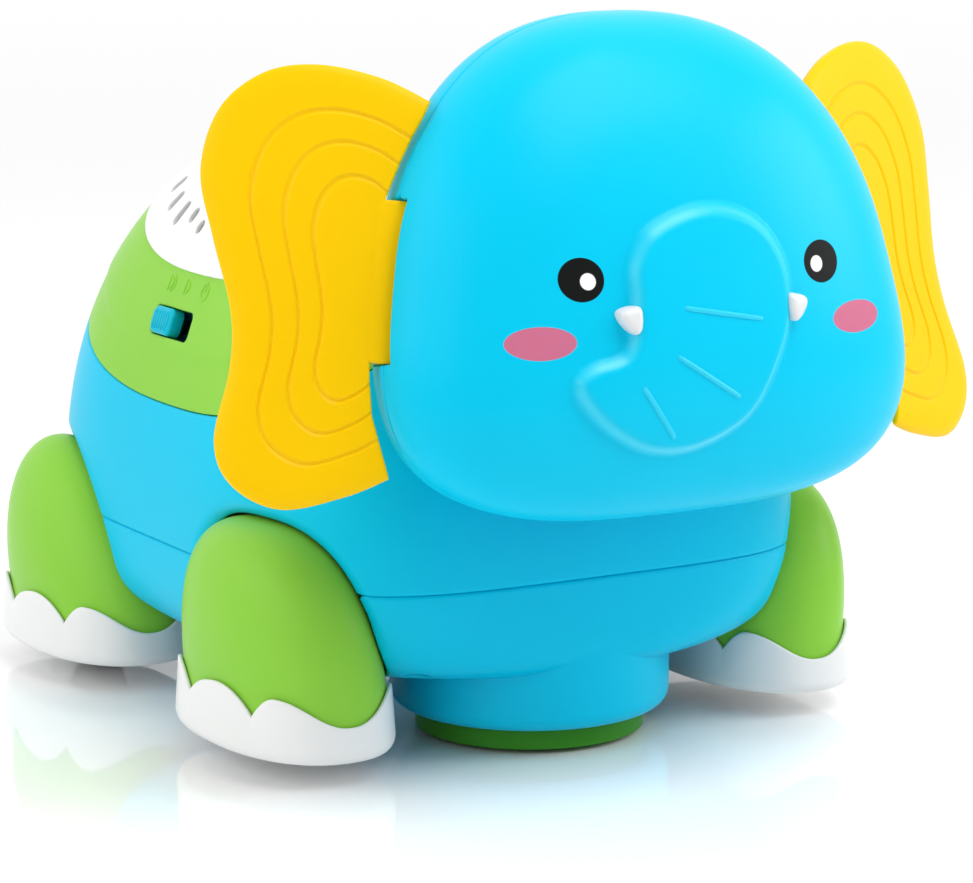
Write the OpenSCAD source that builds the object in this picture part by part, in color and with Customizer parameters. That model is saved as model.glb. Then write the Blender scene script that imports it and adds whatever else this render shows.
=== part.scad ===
// Toy elephant that rolls and turns by itself: a round body of two shells with a saddle,
// a big head with two free-swinging ears, four short legs in shoes, a slide switch on its side,
// and a motor that drives two wheels on a turntable under its chest.
// It faces -Y and stands on Z = 0, with the origin under the middle of its outline.

/* [Body] */
// Width of the body at its seam
body_w = 140.5; // [138:0.5:146]
// Length of the body
body_l = 172.4; // [170:0.4:180]
// Height of the seam between the two body shells
seam_z = 41.7; // [41:0.1:44]
// Height of the upper body above the seam
body_rise = 99.6; // [97:0.2:106]
// Depth that the belly curve would reach below the seam
belly_drop = 24.6; // [24.2:0.1:26]
// Height of the flat belly above the floor
belly_z = 18.2; // [17.6:0.1:19]
// Squareness of the body in plan, 2 is an ellipse
plan_power = 4.3; // [3.5:0.1:4.6]
// Squareness of the body in elevation
rise_power = 2.23; // [2.1:0.01:2.4]
// Squareness of the belly in elevation
belly_power = 8.9; // [6:0.1:10]
// How much rounder the plan gets from the seam down to the belly
belly_round = 2.5; // [1.8:0.1:2.6]
// Thickness of the moulded shells
wall = 2.4; // [2:0.1:2.8]

/* [Saddle] */
// Half length of the saddle at the top of its curved edge
saddle_reach = 88; // [84:1:92]
// Drop of the saddle's edge on the flanks
saddle_drop = 63; // [61:0.5:66]
// Half length of the raised pad on the saddle
pad_reach = 77; // [74:1:80]
// Drop of the raised pad's edge
pad_drop = 52.4; // [51:0.2:54]
// How far the pad stands above the saddle
pad_proud = 0.8; // [0.5:0.1:1.2]
// Half length of the white speaker cover
grille_reach = 57; // [54:1:60]
// Drop of the speaker cover's edge
grille_drop = 33; // [31:0.5:35]
// Width of one slit in the speaker cover
slit_w = 1.8; // [1.4:0.1:2.2]

/* [Head] */
// Width of the head at the parting height
head_w = 123; // [121:0.5:127]
// Height of the head's parting centre above the floor
head_z = 115; // [113:0.5:118]
// Rise of the crown above the parting centre
head_up = 52.7; // [51:0.1:55]
// Drop of the chin below the parting centre
head_down = 54.3; // [52:0.1:55]
// Depth of the face in front of the parting plane
face_depth = 28.7; // [27:0.1:31]
// Depth of the back of the head
nape_depth = 24.2; // [22:0.1:25]
// Gap along Y from the body's front to the parting centre
head_gap = 11.85; // [11.5:0.05:14]
// Depth of the trunk relief on the face
trunk_proud = 2.4; // [1.8:0.1:3]
// Height of the creases on the trunk
crease_proud = 0.5; // [0.3:0.1:0.8]
// How far a tusk stands off the face
tusk_proud = 2.6; // [2:0.1:3.2]
// Outer radius of the neck
neck_r = 20; // [18:0.5:21]
// Room between the neck plate and the body's skin above it
neck_room = 1.5; // [1:0.1:3]

/* [Ears] */
// Thickness of an ear
ear_t = 3.4; // [3:0.1:4]
// Depth of each step in the ear
ear_step = 0.5; // [0.3:0.05:0.6]
// Length of the hinge slot in the head
slot_l = 35; // [33:0.5:37]
// Radius of the ear's hinge barrel
barrel_r = 2.4; // [2.2:0.1:2.6]
// Radius of the ear's hinge pins
ear_pin_r = 1.5; // [1.3:0.1:1.7]
// Sweep of the ears at rest
ear_sweep = 24; // [20:1:28]

/* [Legs and shoes] */
// Width of a leg
leg_w = 37; // [36:0.5:39]
// Length of a leg
leg_l = 64.2; // [62:0.2:66]
// Height of the rounded part of a leg
leg_rise = 46.4; // [44:0.2:48]
// Distance from the body's side in to a leg's centre
leg_inset = 8.25; // [7.5:0.05:9]
// Front leg's distance ahead of the body's centre
leg_front = 49.3; // [48:0.1:51]
// Rear leg's distance behind the body's centre
leg_rear = 52.9; // [51:0.1:54]
// Gap between a leg and the pocket that it sits in
leg_gap = 1.2; // [1:0.1:1.5]
// Height of the shoe soles above the floor
sole_z = 6.2; // [5.8:0.1:6.8]
// Thickness of the shoe sole
sole_t = 2; // [1.6:0.1:2.4]
// How far a shoe stands out around its leg
shoe_proud = 1.9; // [1.6:0.1:2.3]
// Radius of a rear roller
roller_r = 10; // [9.8:0.1:10.6]
// Width of a rear roller
roller_w = 9; // [8:0.5:10]

/* [Drive] */
// Radius of the turntable under the chest
disc_r = 26.6; // [26:0.1:28]
// Distance from the body's front in to the turntable's axis
disc_inset = 32.9; // [32:0.1:34]
// Height of the turntable above the floor
disc_z = 1.2; // [0.8:0.1:1.6]
// Radius of a drive wheel with its tyre
wheel_r = 8; // [7.8:0.1:8.4]
// Width of a drive wheel
wheel_w = 6; // [5:0.2:6.6]
// Radius of the wheel axle
axle_r = 1.5; // [1.3:0.05:1.6]
// Gear tooth module
tooth_m = 0.6; // [0.58:0.01:0.62]

/* [Power and switch] */
// Radius of one battery cell
cell_r = 7.2; // [7:0.05:7.3]
// Length of one battery cell
cell_l = 50.5; // [49:0.1:51]
// Length of the switch opening
switch_l = 20; // [18:0.5:22]
// Height of the switch opening
switch_h = 7.2; // [6.6:0.1:8]
// Length of the switch knob
knob_l = 10.4; // [9:0.1:11]
// Speaker's outer radius
speaker_r = 20; // [18:0.5:21]

/* [Hidden] */

// Facets round a large form, and clearances
around = 36;
fit = 0.05;
slip = 0.3;
screw_r = 1.25;
screw_head_r = 2.7;
screw_head_h = 1.8;

// Head form: lean of the parting plane, narrowing per mm of height, and its curve powers
head_lean = 0.183;
head_taper = 0.00334;
crown_power = 2.475;
chin_power = 3.06;
face_power = 2.415;
part_gap = 0.03;

// Depths, as parts of a form's height, at which rings are drawn
levels = [0, 0.22, 0.42, 0.6, 0.74, 0.85, 0.93, 0.98, 1];

function power(v, p) = sign(v) * pow(abs(v), p);
function lift(d, p) = pow(max(0, 1 - pow(d, p)), 1 / p);

// Places along Y follow from the outline being centred on the origin
function face_rel(x, z, more) =
    let (dz = z - head_z,
         p = dz > 0 ? crown_power : chin_power,
         h = dz > 0 ? head_up : head_down,
         w = head_w / 2 * (1 - head_taper * dz),
         g = pow(pow(abs(x) / w, p) + pow(abs(dz) / h, p), 1 / p))
    head_lean * dz - (face_depth + more) * lift(min(g, 1), face_power);
nose_reach = -min([for (dz = [-38:1:10]) face_rel(0, head_z + dz, trunk_proud + crease_proud)]);
rear_reach = max(body_l / 2, leg_rear + leg_l / 2 + shoe_proud);
body_y = (body_l / 2 + head_gap + nose_reach - rear_reach) / 2;
head_y = body_y - body_l / 2 - head_gap;
disc_y = body_y - body_l / 2 + disc_inset;
front_y = body_y - leg_front;
rear_y = body_y + leg_rear;
leg_x = body_w / 2 - leg_inset;
inner_belly = belly_z + wall;

// A closed convex form through the given points
module form(points) {
    hull() polyhedron(points, [for (i = [0:len(points) - 3]) [i, i + 1, i + 2]]);
}

// A closed form through rings of equal length, flat at both ends
module loft(rings) {
    n = len(rings[0]);
    top = n * (len(rings) - 1);
    polyhedron([for (r = rings) each r], [
        [for (i = [0:n - 1]) i],
        [for (i = [n - 1:-1:0]) top + i],
        for (r = [0:len(rings) - 2], i = [0:n - 1]) let (a = r * n + i, b = r * n + (i + 1) % n)
            each [[a, b + n, b], [a, a + n, b + n]]]);
}

// One ring of the body, scaled by s, inset from the outer skin
function body_ring(s, inset, z, p = plan_power) = [for (i = [0:around - 1])
    let (t = 360 * i / around)
    [(body_w / 2 - inset) * s * power(cos(t), 2 / p),
     body_y + (body_l / 2 - inset) * s * power(sin(t), 2 / p), z]];

// Upper body form
module upper_form(inset, below = 0) {
    rise = body_rise - inset;
    form([for (d = levels) each body_ring(lift(d, rise_power), inset, seam_z + d * rise),
          each body_ring(1, inset, seam_z - below)]);
}

// Lower body form: the plan rounds off towards the belly, where it is cut flat
belly_levels = [0, 0.4, 0.6, 0.74, 0.84, 0.91, 0.96, 1];
function belly_ring(k, inset) =
    let (d = k * (seam_z - belly_z) / belly_drop)
    body_ring(lift(d, belly_power), inset, seam_z - k * (seam_z - belly_z - inset),
              plan_power - belly_round * pow(d, 1.78));
module lower_form(inset, above = 0) {
    form([for (k = belly_levels) each belly_ring(k, inset),
          each body_ring(1, inset, seam_z + above)]);
}

// A smile-shaped cut across the body, used for the edges of the saddle, its pad and the speaker cover
smile_power = 2.5;
smile_top = seam_z + body_rise - 4.3;
smile_y = body_y - 1.7;
function smile(reach, drop) = concat(
    [for (t = [180:7.5:360]) [smile_y + reach * power(cos(t), 2 / smile_power),
                              smile_top + drop * power(sin(t), 2 / smile_power)]],
    [[smile_y + reach, smile_top + 40], [smile_y - reach, smile_top + 40]]);
module smile_cut(reach, drop) {
    rotate([90, 0, 90]) linear_extrude(body_w + 20, center = true) polygon(smile(reach, drop));
}

// Leg form, which leans out a little above the shoe and may be grown for its pocket
leg_power = 2.26;
leg_round = 2.25;
leg_lean = 0.112;
leg_base = sole_z + sole_t + 2.2;
lean_z = sole_z + 13.8;
leg_levels = [0, 0.2, 0.4, 0.58, 0.74, 0.87, 0.96, 1];
leg_around = 24;
function leg_ring(x, y, a, b, z, n = leg_around) = [for (i = [0:n - 1]) let (t = 360 * i / n)
    [x + a * power(cos(t), 2 / leg_power), y + b * power(sin(t), 2 / leg_power), z]];
function leg_rings(side, y, grow, foot_z, bands, n) =
    let (rise = leg_rise + grow, a = leg_w / 2 + grow, b = leg_l / 2 + grow)
    [leg_ring(side * leg_x, y, a, b, foot_z, n),
     for (d = bands) let (z = leg_base + d * rise)
         leg_ring(side * (leg_x + leg_lean * max(0, z - lean_z)), y, a * lift(d, leg_round),
             b * lift(d, leg_round), z, n)];
module leg_form(side, y, grow, foot_z) {
    form([for (r = leg_rings(side, y, grow, foot_z, leg_levels, leg_around)) each r]);
}
module leg_block(side, y, grow, bands, n) {
    loft(leg_rings(side, y, grow, -5, bands, n));
}
module each_leg() {
    for (side = [-1, 1], y = [front_y, rear_y]) {
        $side = side;
        $y = y;
        children();
    }
}

// Leg mounting: flat boss faces meet beside the pocket, with one screw through them
boss_z = 30;
boss_r = 6;
boss_low = boss_z - boss_r;
boss_face = leg_x + leg_lean * max(0, boss_low - lean_z) - 0.3
    - leg_w / 2 * lift((boss_low - leg_base) / leg_rise, leg_round);
boss_back = boss_face - wall - leg_gap - 0.6;
module leg_axis(y) {
    translate([0, y, boss_z]) rotate([0, 90, 0]) children();
}

// Screw posts that join the body shells
post_r = 4;
post_x = leg_x - leg_w / 2 - leg_gap - wall - 2.2;
front_post_in = 8.7;
rear_post_in = 18.1;
posts = [for (sx = [-1, 1], q = [[post_x + 2.8, -leg_front - leg_l / 2 + front_post_in],
                                 [post_x, leg_rear + leg_l / 2 - rear_post_in]])
    [sx * q[0], body_y + q[1]]];

// A pan-head screw, its head's seat at Z = 0 and its shank running up
module screw(shank) {
    translate([0, 0, -screw_head_h]) cylinder(h = screw_head_h, r = screw_head_r, $fn = 32);
    cylinder(h = shank, r = screw_r, $fn = 32);
}

// Head form: rings shrink from the parting plane towards the face or the nape
function head_ring(d, way, depth, grow, shift) = [for (i = [0:around - 1])
    let (t = 360 * i / around,
         p = sin(t) >= 0 ? crown_power : chin_power,
         h = (sin(t) >= 0 ? head_up : head_down) + grow,
         s = lift(d, face_power),
         dz = h * s * power(sin(t), 2 / p))
    [(head_w / 2 * (1 - head_taper * dz) + grow) * s * power(cos(t), 2 / p),
     head_y + head_lean * dz + way * (d * (depth + grow) - shift + part_gap), head_z + dz]];
module head_form(way, depth, grow = 0, shift = 0) {
    form([for (d = levels) each head_ring(d, way, depth, grow, 0),
          each head_ring(0, way, depth, grow, shift)]);
}

// Closed smooth curve through a few points
function curve(p, steps) = [for (i = [0:len(p) - 1], k = [0:steps - 1])
    let (n = len(p), a = p[(i + n - 1) % n], b = p[i], c = p[(i + 1) % n], d = p[(i + 2) % n],
        t = k / steps)
    0.5 * ((2 * b) + (c - a) * t + (2 * a - 5 * b + 4 * c - d) * t * t
        + (3 * b - a - 3 * c + d) * t * t * t)];

// Trunk outline and crease lines on the face, as X and height from the parting centre
trunk_points = [[0, 14.2], [12.5, 10.8], [19.2, 2], [20, -9], [16.8, -18.7], [9.2, -30.9], [-3, -37],
    [-15, -37.2], [-25, -32.5], [-32.3, -25.5], [-33.6, -20.2], [-29.5, -17.2], [-22, -14.6],
    [-19.9, -5], [-19.3, 3], [-13.6, 10.4]];
crease_lines = [[[-6.1, -7], [13.4, -10.7]], [[-8.8, -16.8], [7.1, -26.6]],
    [[-17.4, -22.7], [-9.1, -34.5]]];
function shrunk(p, inset) = [for (i = [0:len(p) - 1])
    let (n = len(p), t = p[(i + 1) % n] - p[(i + n - 1) % n], l = norm(t))
    p[i] + inset * [t[1], -t[0]] / l];
module face_outline(points) {
    translate([0, 0, head_z]) rotate([90, 0, 0]) translate([0, 0, -head_y])
        linear_extrude(face_depth + 30) polygon(points);
}
module trunk_relief(inset, proud) {
    intersection() {
        head_form(-1, face_depth + proud);
        face_outline(shrunk(curve(trunk_points, 3), inset));
    }
}
module trunk_creases() {
    intersection() {
        head_form(-1, face_depth + trunk_proud + crease_proud);
        union() {
            for (c = crease_lines) {
                run = c[1] - c[0];
                side = 0.5 * [-run[1], run[0]] / norm(run);
                face_outline([c[0] - side, c[1] - side, c[1] + side, c[0] + side]);
            }
        }
    }
}

// Ear hinge: the axis follows the edge of the head, its place on the parting plane
ear_z = head_z - 2.15;
hinge_in = 6;
hinge_slope = 0.2;
hinge_x = head_w / 2 * (1 - head_taper * (ear_z - head_z)) - hinge_in;
hinge_at = [-hinge_x, head_y + head_lean * (ear_z - head_z), ear_z];
function unit(v) = v / norm(v);
hinge_axis = unit([hinge_slope, head_lean, 1]);
ear_lead = [-cos(ear_sweep), sin(ear_sweep), 0];
ear_out = unit(ear_lead - hinge_axis * (ear_lead * hinge_axis));
ear_normal = cross(hinge_axis, ear_out);
module at_hinge() {
    multmatrix([[ear_out[0], ear_normal[0], hinge_axis[0], hinge_at[0]],
                [ear_out[1], ear_normal[1], hinge_axis[1], hinge_at[1]],
                [ear_out[2], ear_normal[2], hinge_axis[2], hinge_at[2]],
                [0, 0, 0, 1]]) children();
}
module both_hinges() {
    at_hinge() children();
    mirror([1, 0, 0]) at_hinge() children();
}
slot_w = 8;
bearing_l = 4;
module hinge_slots() {
    both_hinges() translate([-barrel_r - slip, -slot_w / 2, -slot_l / 2])
        cube([hinge_in + 12, slot_w, slot_l]);
}

module hinge_bores(r) {
    both_hinges() translate([0, 0, -slot_l / 2 - bearing_l - slip])
        cylinder(h = slot_l + 2 * bearing_l + 2 * slip, r = r, $fn = 48);
}

// Ear outline from its inner top corner round to its inner lower corner, then back up its inner edge
ear_outer = [[-1, 38.8], [10, 42.9], [23.4, 44.4], [34.5, 41.6], [43, 33.2], [45.8, 20], [42, 6],
    [37.2, -8.5], [36.3, -20.5], [38.3, -36], [34, -45], [23.4, -49.2], [10, -45.4], [1.4, -41]];
ear_inner = [[3.6, -35.5], [6.6, -28.2], [8.4, -18.3], [8.4, 0], [7.8, 17], [6.8, 21], [5, 26],
    [2.8, 31], [0.4, 35.5]];
ear_core = [8, -2];
ear_scales = [[0.72, 0.795], [0.53, 0.655], [0.36, 0.505]];
function open_curve(p, steps) = concat([for (i = [0:len(p) - 2], k = [0:steps - 1])
    let (a = p[max(i - 1, 0)], b = p[i], c = p[i + 1], d = p[min(i + 2, len(p) - 1)], t = k / steps)
    0.5 * ((2 * b) + (c - a) * t + (2 * a - 5 * b + 4 * c - d) * t * t
        + (3 * b - a - 3 * c + d) * t * t * t)],
    [p[len(p) - 1]]);
ear_outline = concat(open_curve(ear_outer, 4), ear_inner);
module ear_blade(points, from, to) {
    translate([0, to, 0]) rotate([90, 0, 0]) linear_extrude(to - from) polygon(points);
}
module ear() {
    difference() {
        union() {
            ear_blade(ear_outline, -ear_t / 2, ear_t / 2);
            translate([0, -1.3, -slot_l / 2 + slip]) cube([9, 2.6, slot_l - 2 * slip]);
            translate([0, 0, -slot_l / 2 + slip])
                cylinder(h = slot_l - 2 * slip, r = barrel_r, $fn = 48);
            translate([0, 0, -slot_l / 2 - bearing_l + slip])
                cylinder(h = slot_l + 2 * bearing_l - 2 * slip, r = ear_pin_r, $fn = 48);
        }
        for (i = [0:len(ear_scales) - 1])
            ear_blade([for (q = ear_outline) ear_core + [(q - ear_core)[0] * ear_scales[i][0],
                                                          (q - ear_core)[1] * ear_scales[i][1]]],
                      ear_t / 2 - (i + 1) * ear_step, ear_t / 2 + 1);
    }
}
module ear_right() {
    color("gold") at_hinge() ear();
}
module ear_left() {
    color("gold") mirror([1, 0, 0]) at_hinge() ear();
}

// Front of the head: the face shell with the trunk in relief
head_posts = [[-36, 30], [36, 30], [-46, -30], [46, -30]];
post_ahead = 10;
module head_post(x, dz, r, from, to) {
    y = head_y + head_lean * dz;
    translate([x, y + to, head_z + dz]) rotate([90, 0, 0]) cylinder(h = to - from, r = r, $fn = 20);
}
module head_front() {
    color("deepskyblue") difference() {
        union() {
            difference() {
                union() {
                    head_form(-1, face_depth);
                    for (k = [0:2]) trunk_relief(2.4 * (1 - cos(45 * k)),
                        trunk_proud * (0.4 + 0.6 * sin(45 * k)));
                    trunk_creases();
                }
                head_form(-1, face_depth, -wall - 0.02, 3);
            }
            intersection() {
                for (q = head_posts) head_post(q[0], q[1], 3.4, -face_depth, -0.8);
                head_form(-1, face_depth, -wall / 2);
            }
        }
        for (q = head_posts) head_post(q[0], q[1], screw_r + fit, -post_ahead, 1);
        hinge_slots();
        hinge_bores(ear_pin_r + slip);
    }
}

// Back of the head: the nape shell, its hinge bearings, screw posts and the neck tube
neck_in = 29.5;
neck_end = body_y - body_l / 2 + neck_in;
neck_wall = 2.4;
plate_over = 3.2;
plate_t = 2;
neck_z = seam_z + body_rise * lift(1 - (neck_in + plate_t) / (body_l / 2), rise_power)
    - wall - neck_room - neck_r - plate_over;
module along_neck(from, to, r) {
    translate([0, to, neck_z]) rotate([90, 0, 0]) cylinder(h = to - from, r = r, $fn = 64);
}
neck_posts = [90, 210, 330];
neck_post_r = neck_r - 4.6;
module at_neck_posts() {
    for (a = neck_posts) translate([neck_post_r * cos(a), 0, neck_post_r * sin(a)]) children();
}
module head_back() {
    color("deepskyblue") difference() {
        union() {
            difference() {
                head_form(1, nape_depth);
                head_form(1, nape_depth, -wall, 2);
            }
            difference() {
                along_neck(head_y + 14, neck_end, neck_r);
                along_neck(head_y + 13, neck_end + 1, neck_r - neck_wall);
            }
            at_neck_posts() along_neck(neck_end - 12, neck_end, 2.6);
            intersection() {
                union() {
                    both_hinges() for (end = [-1, 1])
                        translate([-3.6, -10, end * (slot_l / 2 + bearing_l / 2)
                        - bearing_l / 2]) cube([10, 13, bearing_l]);
                    for (q = head_posts) head_post(q[0], q[1], 3.4, 0.8, nape_depth);
                }
                union() {
                    head_form(1, nape_depth, -wall / 2);
                    head_form(-1, face_depth, -wall - slip, 1);
                }
            }
        }
        along_neck(head_y + 13, head_y + nape_depth + 4, neck_r - neck_wall);
        at_neck_posts() along_neck(neck_end - 10, neck_end + 1, screw_r + fit);
        hinge_slots();
        hinge_bores(ear_pin_r + fit);
        for (q = head_posts) {
            head_post(q[0], q[1], screw_r + fit, -1, nape_depth + 5);
            head_post(q[0], q[1], screw_head_r + slip, 5, nape_depth + 5);
        }
    }
}
module head_screws() {
    color("silver") for (q = head_posts)
        translate([q[0], head_y + head_lean * q[1] + 5, head_z + q[1]]) rotate([90, 0, 0]) screw(13);
}

// Tusks: two small pointed caps beside the trunk
tusk_points = [[12, -5.2], [18.8, -5.2], [21.6, -6.7], [22.8, -8.2], [22.4, -9.6], [20.4, -11.4],
    [18.5, -12.6], [12, -12.6]];
module tusks() {
    color("white") difference() {
        for (side = [0, 1]) mirror([side, 0, 0]) intersection() {
            head_form(-1, face_depth + tusk_proud);
            face_outline(tusk_points);
        }
        head_form(-1, face_depth, 0, 2);
        face_outline(shrunk(curve(trunk_points, 3), -fit));
    }
}

// Neck plate: clamps the neck tube from inside the body
module neck_plate() {
    color("dimgray") difference() {
        along_neck(neck_end, neck_end + plate_t, neck_r + plate_over);
        along_neck(neck_end - 1, neck_end + 3, neck_r - 9);
        at_neck_posts() along_neck(neck_end - 1, neck_end + 3, screw_r + slip);
    }
}
module neck_screws() {
    color("silver") at_neck_posts() translate([0, neck_end + plate_t, neck_z])
        rotate([90, 0, 0]) screw(9);
}

// Upper body shell: leg arches, an opening for the saddle with a ledge below it, and the neck ring
module leg_pockets(grow) {
    each_leg() leg_block($side, $y, grow, [0, 0.3, 0.5, 0.65, 0.78, 0.88, 0.95, 0.99], leg_around);
}
module post_ribs(from, to) {
    for (q = posts) translate([q[0], q[1] - 0.8, from])
        mirror([q[0] < 0 ? 1 : 0, 0, 0]) cube([12, 1.6, to - from]);
}
module body_upper() {
    color("deepskyblue") difference() {
        union() {
            difference() {
                upper_form(0);
                difference() {
                    upper_form(wall, 2);
                    leg_pockets(leg_gap + wall);
                    along_neck(head_y, neck_end, neck_r + 3.4);
                    for (q = posts) translate([q[0], q[1], seam_z - 3])
                        cylinder(h = 19, r = post_r, $fn = 16);
                    post_ribs(seam_z - 3, seam_z + 9);
                }
            }
        }
        leg_pockets(leg_gap);
        along_neck(head_y, neck_end + 1, neck_r + slip);
        difference() {
            smile_cut(saddle_reach, saddle_drop);
            upper_form(wall / 2, 5);
        }
        smile_cut(saddle_reach - 5, saddle_drop - 4);
        for (q = posts) translate([q[0], q[1], seam_z - 5])
            cylinder(h = 17, r = screw_r + fit, $fn = 16);
    }
}

// Lower body shell: leg pockets with boss faces, the skirt round the turntable, and the battery opening
skirt_r = disc_r + 6;
skirt_in = disc_r + 0.8;
skirt_round = 4;
seat_wall = 1.3;
battery_y = body_y + 30.5;
box_in_w = 6 * cell_r + 4.6;
box_in_l = cell_l + 6.6;
box_front = -box_in_l / 2 - 9.2;
box_rear = box_in_l / 2 + 4;
box_w = box_in_w + 8.2;
door_w = box_w - 4;
door_front = box_front + 2;
door_rear = box_rear - 2;
door_screw_y = -box_in_l / 2 - 3.8;
module at_disc() {
    translate([0, disc_y, 0]) children();
}
plate_r = skirt_r - seat_wall - slip;
plate_screw_r = skirt_in + 1.8;
plate_screws = [25, 155, 215, 325];
module skirt() {
    at_disc() {
        rotate_extrude($fn = 56) polygon(concat([[0, sole_z], [skirt_r - skirt_round, sole_z]],
            [for (t = [22.5:22.5:90])
                [skirt_r - skirt_round + skirt_round * sin(t), sole_z + skirt_round * (1 - cos(t))]],
            [[skirt_r, inner_belly + 9], [0, inner_belly + 9]]));
    }
}
// Tub in the belly for the battery box
module tub(grow, from, to) {
    translate([-box_w / 2 - grow, battery_y + box_front - grow, from])
        cube([box_w + 2 * grow, box_rear - box_front + 2 * grow, to - from]);
}
module leg_prism(side, y, grow, top) {
    a = leg_w / 2 + grow;
    b = leg_l / 2 + grow;
    loft([leg_ring(side * leg_x, y, a, b, 0, 20), leg_ring(side * leg_x, y, a, b, top, 20)]);
}
module body_lower() {
    color("deepskyblue") difference() {
        union() {
            difference() {
                lower_form(0);
                difference() {
                    lower_form(wall, 2);
                    each_leg() leg_block($side, $y, leg_gap + wall, [0, 0.36, 0.7], 20);
                    for (q = posts) translate([q[0], q[1], 0])
                        cylinder(h = seam_z + 3, r = post_r, $fn = 16);
                    post_ribs(belly_z, seam_z + 3);
                    each_leg() leg_axis($y) translate([0, 0, $side > 0 ? boss_back : -boss_face - 2])
                        cylinder(h = boss_face - boss_back + 2, r = boss_r, $fn = 16);
                }
            }
            skirt();
            tub(slip + wall, belly_z, inner_belly + 9);
        }
        tub(slip, inner_belly, seam_z);
        difference() {
            each_leg() leg_block($side, $y, leg_gap, [0, 0.2, 0.4, 0.58, 0.72], leg_around);
            each_leg() leg_axis($y) translate([0, 0, $side > 0 ? boss_back : -boss_face])
                cylinder(h = boss_face - boss_back, r = boss_r, $fn = 16);
        }
        each_leg() {
            leg_axis($y) translate([0, 0, $side > 0 ? boss_face : -boss_face - 6])
                cylinder(h = 6, r = boss_r + leg_gap / 2, $fn = 16);
            leg_axis($y) translate([0, 0, $side > 0 ? boss_back - 6 : -boss_face - 1])
                cylinder(h = boss_face - boss_back + 7, r = screw_r + slip, $fn = 16);
            leg_axis($y) translate([0, 0, $side > 0 ? boss_back - 12 : -boss_back])
                cylinder(h = 12, r = screw_head_r + slip, $fn = 16);
            leg_prism($side, $y, shoe_proud + 0.7, sole_z + 15.6);
        }
        at_disc() translate([0, 0, -1]) cylinder(h = seam_z, r = skirt_in, $fn = 56);
        at_disc() translate([0, 0, inner_belly]) cylinder(h = 12, r = plate_r + slip, $fn = 56);
        translate([-post_x + post_r, disc_y + 8, inner_belly])
            cube([2 * (post_x - post_r), battery_y + box_front - wall - slip - disc_y - 8, 12]);
        at_disc() for (a = plate_screws) rotate([0, 0, a]) translate([plate_screw_r, 0, sole_z + 4])
            cylinder(h = seam_z, r = screw_r + fit, $fn = 16);
        at_disc() for (a = plate_screws) rotate([0, 0, a]) translate([plate_screw_r, 0, deck_z - 1])
            cylinder(h = 12, r = screw_head_r + slip, $fn = 16);
        translate([-door_w / 2, battery_y + door_front, belly_z - 1])
            cube([door_w, door_rear - door_front, wall + 2]);
        for (q = posts) {
            translate([q[0], q[1], 0]) cylinder(h = seam_z + 1, r = screw_r + slip, $fn = 16);
            translate([q[0], q[1], 0]) cylinder(h = belly_z + 6, r = screw_head_r + slip, $fn = 20);
        }
    }
}
module body_screws() {
    color("silver") for (q = posts) translate([q[0], q[1], belly_z + 6]) screw(seam_z - belly_z + 4);
}

// Saddle: green cap on the upper body, with a raised pad and the switch opening
saddle_fit = 0.15;
switch_below = 12;
switch_z = smile_top - grille_drop - switch_below;
switch_y = body_y + 4.5;
switch_side = -body_w / 2 * lift((switch_z - seam_z) / body_rise, rise_power);
switch_tilt = 19;
module at_switch() {
    translate([switch_side, switch_y, switch_z]) rotate([0, switch_tilt - 90, 0]) children();
}
switch_seat = -5;
module rounded_bar(l, h, t, r) {
    translate([-h / 2, -l / 2 + r, 0]) cube([h, l - 2 * r, t]);
    translate([-h / 2 + r, -l / 2, 0]) cube([h - 2 * r, l, t]);
    for (sx = [-1, 1], sy = [-1, 1])
        translate([sx * (h / 2 - r), sy * (l / 2 - r), 0]) cylinder(h = t, r = r, $fn = 24);
}
module saddle() {
    color("yellowgreen") difference() {
        union() {
            difference() {
                intersection() {
                    union() {
                        upper_form(0);
                        intersection() {
                            upper_form(-pad_proud);
                            smile_cut(pad_reach, pad_drop);
                        }
                    }
                    smile_cut(saddle_reach - saddle_fit, saddle_drop - saddle_fit);
                }
                upper_form(wall / 2 - fit, 5);
            }
            intersection() {
                upper_form(wall / 4);
                difference() {
                    smile_cut(saddle_reach - 5.3, saddle_drop - 4.3);
                    upper_form(wall);
                }
            }
            intersection() {
                upper_form(wall / 2);
                at_switch() translate([0, 0, switch_seat]) rounded_bar(switch_l + 10, switch_h + 6,
                    6, 2);
            }
        }
        smile_cut(grille_reach, grille_drop);
        along_neck(head_y, neck_end + 3, neck_r + 3.8);
        at_switch() translate([0, 0, switch_seat - 1]) rounded_bar(switch_l, switch_h, 12, 1.2);
        at_switch() translate([0, 0, switch_seat - 20])
            cube([switch_h + 12, switch_l + 16, 40], center = true);
    }
}

// Speaker cover: white cap with fanned slits in both flanks and four posts that hold the speaker
speaker_z = seam_z + body_rise - 20;
// Each slit's place behind the middle, its height over the cover's edge, its length and its slant
slit_set = [[11, 9, 3, 9], [17.3, 10.6, 3.4, 11], [24.2, 9.6, 6.2, 16], [31.4, 10, 5.4, 24],
    [37, 11.4, 5, 36]];
function flank_x(y, z) =
    body_w / 2 * pow(pow(lift((z - seam_z) / body_rise, rise_power), plan_power)
    - pow(abs(y - body_y) / (body_l / 2), plan_power), 1 / plan_power);
module slits() {
    for (side = [0, 1], q = slit_set) {
        y = smile_y + q[0];
        z = smile_top - grille_drop * lift(q[0] / grille_reach, smile_power) + q[1];
        mirror([side, 0, 0]) translate([-flank_x(y, z), y, z]) rotate([0, -50, 0])
            rotate([0, 0, -q[3]]) {
            cube([q[2] - slit_w, slit_w, 9], center = true);
            for (e = [-1, 1]) translate([e * (q[2] - slit_w) / 2, 0, 0])
                cylinder(h = 9, r = slit_w / 2, center = true, $fn = 12);
        }
    }
}
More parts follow.
